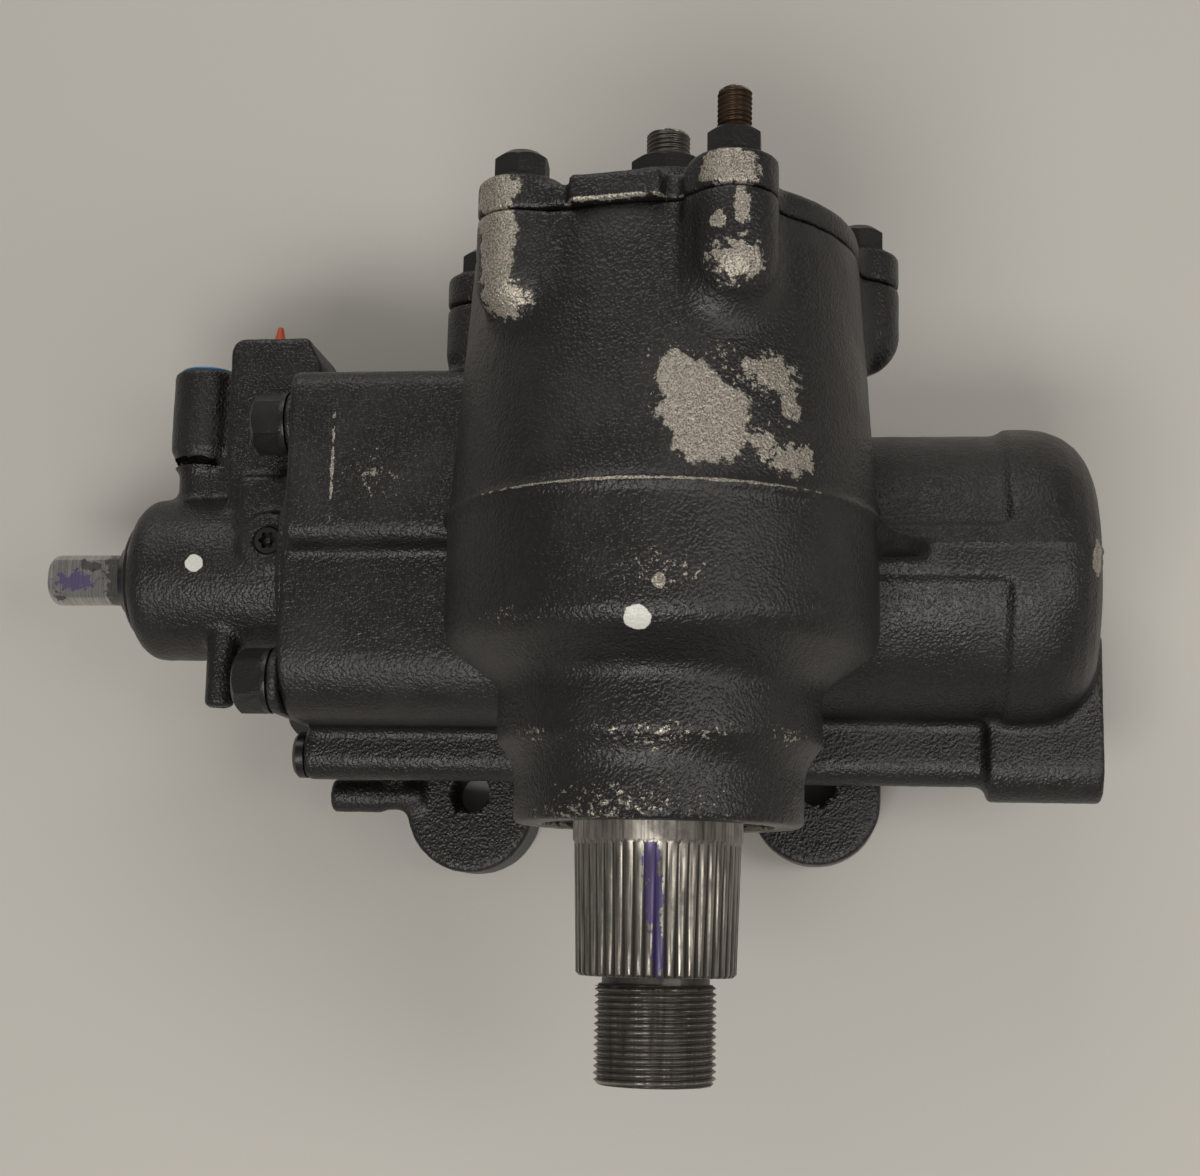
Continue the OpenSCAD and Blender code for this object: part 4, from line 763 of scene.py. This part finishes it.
# Cover bolts: three flanged hexagon bolts, and one with a stud on its head that a bracket is hung on.
# They are zinc plated steel, painted over with the housing; the stud's thread is bare and rusty.
HEAD_T = 10 * MM
FLANGE_T = 1.5 * MM
FLANGE_RISE = 0.7 * MM
BOLT_AF = 15 * MM
FLANGE_R = BOLT_AF / math.sqrt(3) + 1.2 * MM
SHANK_R = 5 * MM
DISH_DEPTH = 1.1 * MM
DISH_FLOOR_R, DISH_RIM_R = 3.2 * MM, 4.3 * MM
CROWN_ANGLE = math.radians(38)
STUD_L = 12 * MM
STUD_PITCH, STUD_DEPTH = 1.5 * MM, 0.85 * MM
THREAD_ANGLE = math.radians(50)


def hex_bar(axis, start, end, across, centre, bore=0.0, crown_share=0.46):
    """A hexagon bar whose end face is chamfered, as on a turned bolt head or nut."""
    way = 1 if end > start else -1
    before = start - way * MM
    corner = across / math.sqrt(3)
    bar = object_from("hexagon", lathe(axis, centre, [(0, start), (corner, start), (corner, end), (0, end)], 6))
    flat = crown_share * across
    reach = 1.05 * corner
    slope = (reach - flat) * math.tan(CROWN_ANGLE)
    crown = [(0, before), (reach, before), (reach, end - way * slope), (flat, end), (0, end)]
    carve(bar, object_from("crown", lathe(axis, centre, crown)), "INTERSECT")
    if bore:
        past = end + way * 0.3 * MM
        countersink = [(0, before), (bore, before), (bore, end - way * MM), (bore + 1.3 * MM, past), (0, past)]
        carve(bar, object_from("bore", lathe(axis, centre, countersink)))
    return bar


def cover_bolt(name, centre, shank_end, head_top):
    """A hexagon bolt along Y with a flange under its head and a dish in it."""
    seat = head_top - HEAD_T
    neck = seat + FLANGE_T + FLANGE_RISE
    body = [(0, shank_end), (SHANK_R - MM, shank_end), (SHANK_R, shank_end + MM), (SHANK_R, seat), (FLANGE_R, seat),
            (FLANGE_R, seat + 0.7 * FLANGE_T), (FLANGE_R - 0.6 * MM, seat + FLANGE_T), (FLANGE_R - 2.4 * MM, neck),
            (0, neck)]
    bolt = object_from(name, lathe("Y", centre, body, 72))
    head = hex_bar("Y", seat + 0.5 * FLANGE_T, head_top, BOLT_AF, centre, crown_share=0.36)
    dish_floor, past = head_top - DISH_DEPTH, head_top + 0.2 * MM
    dish = [(0, dish_floor), (DISH_FLOOR_R, dish_floor), (DISH_RIM_R, past), (0, past)]
    carve(head, object_from("dish", lathe("Y", centre, dish, 48)))
    return carve(bolt, head, "UNION")


bolt_paint = painted_iron("black_painted_bolts", edges=0.15, grain_depth=0.1)
for number, (low, high) in enumerate(parts_of("cover_bolts"), 1):
    bolt = smooth(cover_bolt(f"cover_bolt_{number}", (low + high) / 2, low.y, high.y))
    dress(bolt, "housing", "painted_fasteners", bolt_paint, "cover_bolts")
low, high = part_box("cover_stud_bolt")
stud_centre = (low + high) / 2
bolt = smooth(cover_bolt("cover_stud_head", stud_centre, low.y, high.y - STUD_L))
dress(bolt, "housing", "painted_fasteners", bolt_paint, "cover_stud_bolt")
thread = screw_rod("Y", high.y - STUD_L - MM, high.y, SHANK_R, STUD_PITCH, STUD_DEPTH, stud_centre, 64)
stud = smooth(object_from("cover_stud_thread", thread), THREAD_ANGLE)
rusty = bare_steel("rusty_thread", (0.105, 0.066, 0.042, 1), (0.055, 0.036, 0.026, 1), 0.5, ALONG_Y, 0.3,
                   polished=[((24, 119, 188.5), (5, 1.0, 5), 0.7)])
dress(stud, "housing", "painted_fasteners", rusty)

# Adjuster: a hardened screw that hangs the sector shaft, with a socket in its end, and a hexagon lock nut on the
# cover's boss. The thread above the nut stays bare and dark.
ADJUSTER_R = 7 * MM
ADJUSTER_HEAD_R = 8.7 * MM
ADJUSTER_PITCH, ADJUSTER_DEPTH = 1.5 * MM, 0.45 * MM
ADJUSTER_SOCKET_AF, ADJUSTER_SOCKET_L = 6 * MM, 5 * MM
LOCK_NUT_AF = 22 * MM
low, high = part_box("adjuster_screw")
nut_low, nut_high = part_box("adjuster_lock_nut")
screw_steps = sorted({round(v.co.y, 6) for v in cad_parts["adjuster_screw"].data.vertices})
head_top = screw_steps[1]
stem_r = ADJUSTER_R - 0.2 * MM
stem_top = nut_high.y - 2 * MM
adjuster_head = [(0, low.y), (ADJUSTER_HEAD_R, low.y), (ADJUSTER_HEAD_R, head_top), (stem_r, head_top),
                 (stem_r, stem_top), (0, stem_top)]
adjuster = object_from("adjuster_screw_body", lathe("Y", sector_axis, adjuster_head, 64))
thread = screw_rod("Y", nut_high.y - 3 * MM, high.y, ADJUSTER_R - 0.05 * MM, ADJUSTER_PITCH, ADJUSTER_DEPTH,
                   sector_axis, 72)
carve(adjuster, object_from("thread", thread), "UNION")
carve(adjuster, hex_bar("Y", high.y + MM, high.y - ADJUSTER_SOCKET_L, ADJUSTER_SOCKET_AF, sector_axis))
smooth(adjuster, THREAD_ANGLE)
adjuster_steel = bare_steel("dark_screw_steel", (0.16, 0.15, 0.135, 1), (0.07, 0.065, 0.058, 1), 0.4, ALONG_Y, 0.35,
                            polished=[((0, 131, 130), (7.2, 1.0, 7.2), 0.5)])
dress(adjuster, "housing", "dark_steel", adjuster_steel, "adjuster_screw")
lock_nut = smooth(hex_bar("Y", nut_low.y, nut_high.y, LOCK_NUT_AF, sector_axis, ADJUSTER_R + 0.1 * MM))
lock_nut.name = "adjuster_lock_nut_body"
dress(lock_nut, "housing", "painted_fasteners", bolt_paint, "adjuster_lock_nut")

# Valve housing: a smaller iron casting on four bolts, with the two hose ports on its arm, a drilled lug and a
# round end for the input seal. It is painted with the housing.
VALVE_VOXEL = 0.75 * MM
VALVE_FILLET = 2.6 * MM
VALVE_EDGE = 1.1 * MM
VALVE_FACES_KEPT = 0.5
valve_low, valve_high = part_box("valve_housing")
pressure_axis = middle("pressure_port_plug")
return_axis = middle("return_port_plug")
star_axis = middle("passage_plug")
port_floor = at(0, 40, 0).y
sleeve_bore = ("X", valve_low.x + 6 * MM, valve_high.x, 22.6 * MM, worm_axis, HIGH_END)
seal_mouth = ("X", valve_low.x, valve_low.x + 9 * MM, 18.4 * MM, worm_axis, LOW_END)
bearing_bore = ("X", seam_x + 5 * MM, valve_high.x, 35 * MM, worm_axis, HIGH_END)
pressure_port = ("Y", port_floor, at(0, 83, 0).y, 11.5 * MM, pressure_axis, HIGH_END)
return_port = ("Y", port_floor, at(0, 75, 0).y, 10.5 * MM, return_axis, HIGH_END)
plug_hole = ("Z", at(0, 0, 78).z, at(0, 0, 88).z, 6 * MM, star_axis, HIGH_END)
lug_hole = ("Y", at(0, -47, 0).y, at(0, -38, 0).y, 3.3 * MM, at(-156, 0, 74), LOW_END)
valve_hollows = [sleeve_bore, seal_mouth, bearing_bore, pressure_port, return_port, plug_hole, lug_hole]
valve = cast_form("valve_housing_casting", "valve_housing", valve_hollows, VALVE_FILLET, VALVE_EDGE, VALVE_VOXEL,
                  VALVE_FACES_KEPT)
valve_specks = [((-150, -47, 74), (4, 2, 7), 0.9), ((-137, 83, 60), (14, 2, 20), 1.2)]
valve_dabs = [((-163.5, 0.9, 86.5), (3.1, 3.1, 3.1), 0.12)]
valve_paint = painted_iron("black_painted_valve", (), (), valve_specks, valve_dabs)
dress(valve, "housing", "painted_casting", valve_paint, "valve_housing")
finish(bronze, "pressure_tube_seat", "return_tube_seat")
finish(polished_race, "input_needle_bearing")
finish(soft_rubber, "input_lip_seal")
finish(pressed_steel, "input_snap_ring")

# Valve bolts: four forged hexagon bolts, each with a captive washer, that hold the valve housing on the gear
# housing. They are painted over with the castings.
VALVE_HEAD_T = 12 * MM
VALVE_AF = 19 * MM
WASHER_T = 2 * MM
WASHER_R = 11 * MM
VALVE_SHANK_R = 6 * MM
for number, (low, high) in enumerate(parts_of("valve_bolts"), 1):
    centre = (low + high) / 2
    seat = low.x + VALVE_HEAD_T
    washer_face = seat - WASHER_T
    body = [(0, high.x), (VALVE_SHANK_R - MM, high.x), (VALVE_SHANK_R, high.x - MM), (VALVE_SHANK_R, seat),
            (WASHER_R - 0.1 * MM, seat), (WASHER_R, seat - 0.5 * MM), (WASHER_R - 0.4 * MM, washer_face),
            (0, washer_face)]
    bolt = object_from(f"valve_bolt_{number}", lathe("X", centre, body, 72))
    carve(bolt, hex_bar("X", seat - 0.5 * WASHER_T, low.x, VALVE_AF, centre), "UNION")
    dress(smooth(bolt), "housing", "painted_fasteners", bolt_paint, "valve_bolts")

# Passage plug: a small steel plug with a six lobed socket and a pin in it, screwed in the valve housing to close
# a drilled oil passage, and painted over with it.
PLUG_R = 5 * MM
PLUG_CHAMFER = 0.6 * MM
SOCKET_R, SOCKET_L = 2.3 * MM, 3.5 * MM
LOBES, LOBE_R, LOBE_CIRCLE_R = 6, 0.9 * MM, 2.2
PIN_R = 0.9 * MM
low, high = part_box("passage_plug")
top = high.z
plug_body = [(0, low.z), (PLUG_R, low.z), (PLUG_R, top - PLUG_CHAMFER), (PLUG_R - PLUG_CHAMFER, top), (0, top)]
passage = object_from("passage_plug_body", lathe("Z", star_axis, plug_body, 64))
carve(passage, object_from("socket", rod("Z", top - SOCKET_L, top + MM, SOCKET_R, star_axis, 48)))
for lobe in range(LOBES):
    turn = math.radians(360 / LOBES * lobe)
    centre = star_axis + Vector((math.cos(turn), math.sin(turn), 0)) * LOBE_CIRCLE_R * MM
    carve(passage, object_from("lobe", rod("Z", top - SOCKET_L, top + MM, LOBE_R, centre, 24)))
pin_foot = top - SOCKET_L - MM
pin = [(0, pin_foot), (PIN_R, pin_foot), (PIN_R, top - 0.8 * MM), (0, top - 0.5 * MM)]
carve(passage, object_from("pin", lathe("Z", star_axis, pin, 24)), "UNION")
plug_steel = painted_iron("black_plug", edges=0.15, grain_depth=0.05)
dress(smooth(passage), "housing", "dark_steel", plug_steel, "passage_plug")

# Gallery plugs: a steel plug with a domed head and a hexagon socket in the long oil gallery, and a flush one in
# the small boss below it. Both are painted over with the housing.
GALLERY_HEAD_T = 4.5 * MM
GALLERY_STEM_R = 4.4 * MM
GALLERY_SOCKET_AF, GALLERY_SOCKET_L = 7 * MM, 3 * MM
SIDE_SUNK = 0.8 * MM
gallery, side = sorted(parts_of("gallery_plugs"), key=lambda box: box[0].x)
low, high = gallery
centre = (low + high) / 2
head_r = (high.z - low.z) / 2
neck = low.x + GALLERY_HEAD_T
gallery_body = [(0, low.x), (0.55 * head_r, low.x + 0.1 * MM), (0.85 * head_r, low.x + 0.6 * MM),
                (head_r, low.x + 1.9 * MM), (head_r, neck), (GALLERY_STEM_R, neck), (GALLERY_STEM_R, high.x),
                (0, high.x)]
gallery_plug = object_from("gallery_plug_head", lathe("X", centre, gallery_body, 72))
carve(gallery_plug, hex_bar("X", low.x - MM, low.x + GALLERY_SOCKET_L, GALLERY_SOCKET_AF, centre))
dress(smooth(gallery_plug), "housing", "dark_steel", plug_steel, "gallery_plugs")
low, high = side
centre = (low + high) / 2
side_r = (high.z - low.z) / 2
side_body = [(0, low.x + SIDE_SUNK), (0.7 * side_r, low.x + SIDE_SUNK), (0.85 * side_r, low.x),
             (side_r, low.x + 0.3 * MM), (side_r, high.x), (0, high.x)]
side_plug = smooth(object_from("side_boss_plug", lathe("X", centre, side_body, 48)))
dress(side_plug, "housing", "dark_steel", plug_steel, "gallery_plugs")

# Input shaft: a ground steel shaft with two flats for the steering coupling, left bare with a smear of ink and
# black overspray next to the seal. A moulded rubber dust seal sits round it on the valve housing's end.
LIP_R = 9.15 * MM
input_ink = [((-214, -1.3, 64.5), (6.5, 3.4, 2.5), 1.15)]
input_overspray = [((-199, 0, 58), (5.5, 12, 12), 0.5), ((-209, 4, 64.5), (4, 2, 2), 1.0),
                   ((-220, -6, 62), (3, 2, 3), 1.1)]
input_steel = bare_steel("input_shaft_steel", (0.56, 0.55, 0.53, 1), (0.30, 0.29, 0.275, 1), 0.24, ALONG_X, 0.2,
                         inks=input_ink, overspray=input_overspray)
finish(input_steel, "input_shaft")
low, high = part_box("input_dust_seal")
lip = [(LIP_R, low.x + 0.4 * MM), (LIP_R + 0.4 * MM, low.x), (11.6 * MM, low.x), (12.5 * MM, low.x + 0.5 * MM),
       (13.4 * MM, low.x + 2 * MM), (15.6 * MM, low.x + 3.3 * MM), (18.6 * MM, low.x + 4.2 * MM),
       (20.2 * MM, low.x + 5.2 * MM), (20.6 * MM, low.x + 6.2 * MM), (20.4 * MM, high.x), (11 * MM, high.x),
       (LIP_R, low.x + 4 * MM)]
glossy_rubber = moulded("glossy_rubber", (0.006, 0.006, 0.0065, 1), (0.011, 0.011, 0.011, 1), 0.2, 0.02)
seal = smooth(object_from("input_dust_boot", lathe("X", worm_axis, lip)))
dress(seal, "housing", "black_rubber", glossy_rubber, "input_dust_seal")

# Port plugs: two soft plastic caps pushed in the hose ports until the hoses are fitted, orange in the pressure
# port and blue in the return port, each with a pip left by the mould.
PLUG_FLANGE_T = 0.8 * MM
FLANGE_OVER_SKIRT = 0.9 * MM
PLUG_HOLLOW = 1.2 * MM


def port_cap(name, node, body, slot, tip_r, node_tip_h, tip_h, low_colour, high_colour):
    """A cap for a port, with a pip of its own height on the CAD node's flange."""
    low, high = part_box(node)
    centre = (low + high) / 2
    rim = (high.x - low.x) / 2
    face = high.y - node_tip_h
    under = face - PLUG_FLANGE_T
    skirt = rim - FLANGE_OVER_SKIRT
    shape = [(0, low.y + PLUG_HOLLOW), (skirt - 1.6 * MM, low.y + PLUG_HOLLOW), (skirt - 1.4 * MM, low.y),
             (skirt - 0.3 * MM, low.y), (skirt, low.y + 0.5 * MM), (skirt, under), (rim - 0.2 * MM, under),
             (rim, under + 0.3 * MM), (rim - 0.3 * MM, face), (tip_r, face), (0.75 * tip_r, face + 0.6 * tip_h),
             (0.4 * tip_r, face + tip_h), (0, face + tip_h)]
    cap = smooth(object_from(name, lathe("Y", centre, shape, 72)))
    dress(cap, body, slot, moulded(name + "_plastic", low_colour, high_colour, 0.36), node)


port_cap("pressure_port_cap", "pressure_port_plug", "pressure_plug", "orange_plastic", 2.4 * MM, 3 * MM, 9 * MM,
         (0.55, 0.075, 0.018, 1), (0.68, 0.11, 0.028, 1))
port_cap("return_port_cap", "return_port_plug", "return_plug", "blue_plastic", 6 * MM, 1.2 * MM, 1.2 * MM,
         (0.012, 0.14, 0.36, 1), (0.02, 0.20, 0.46, 1))

# Studio: a plain pale floor under the frame pads, three soft lamps and the photograph's viewpoint. Floor and lamps
# are sized in metres.
FLOOR_COLOUR = (0.50, 0.485, 0.455, 1)
FLOOR_ROUGH = 0.6
FLOOR_HALF = 4.0
FLOOR_PLACE = (0.1, 0.1, 0)
SKY_COLOUR = (1.0, 0.97, 0.93, 1)
SKY_STRENGTH = 0.25
LAMP_COLOUR = (1.0, 0.96, 0.9)
made = bmesh.new()
bmesh.ops.create_grid(made, x_segments=1, y_segments=1, size=FLOOR_HALF)
floor = object_from("floor", made)
floor.location = FLOOR_PLACE
floor_finish, tree, shader = new_finish("floor_finish")
feed(tree, shader, {"Base Color": FLOOR_COLOUR, "Roughness": FLOOR_ROUGH})
floor.data.materials.append(floor_finish)

world = bpy.data.worlds.new("studio")
bpy.context.scene.world = world
world.use_nodes = True
sky = world.node_tree.nodes["Background"]
feed(world.node_tree, sky, {"Color": SKY_COLOUR, "Strength": SKY_STRENGTH})


def lamp(name, place, target, size, power):
    """A soft rectangular lamp, turned to a target."""
    data = bpy.data.lights.new(name, "AREA")
    data.shape = "RECTANGLE"
    data.size, data.size_y = size
    data.energy = power
    data.color = LAMP_COLOUR
    thing = placed(name, data)
    thing.location = place
    thing.rotation_euler = (Vector(target) - Vector(place)).to_track_quat("-Z", "Y").to_euler()


aim = at(0, 0, 90)
lamp("near_lamp", at(-100, -700, 1200), aim, (0.8, 0.4), 9)
lamp("far_lamp", at(-300, 1300, 900), aim, (1.2, 0.5), 7)
lamp("right_lamp", at(900, -100, 1100), aim, (0.4, 0.8), 5)

CAMERA_PLACE = at(49.80, -116.85, 700.64)
CAMERA_RIGHT = Vector((0.99302, 0.02062, -0.11612))
CAMERA_UP = Vector((0, 0.98459, 0.17487))
LENS_MM, SENSOR_MM = 57, 36
camera = placed("camera", bpy.data.cameras.new("camera"))
camera.data.sensor_width = SENSOR_MM
camera.data.lens = LENS_MM
back = CAMERA_RIGHT.cross(CAMERA_UP)
turned = Matrix((CAMERA_RIGHT, CAMERA_UP, back)).transposed().to_4x4()
camera.matrix_world = Matrix.Translation(CAMERA_PLACE) @ turned
bpy.context.scene.camera = camera
bpy.context.scene.view_settings.view_transform = "Standard"
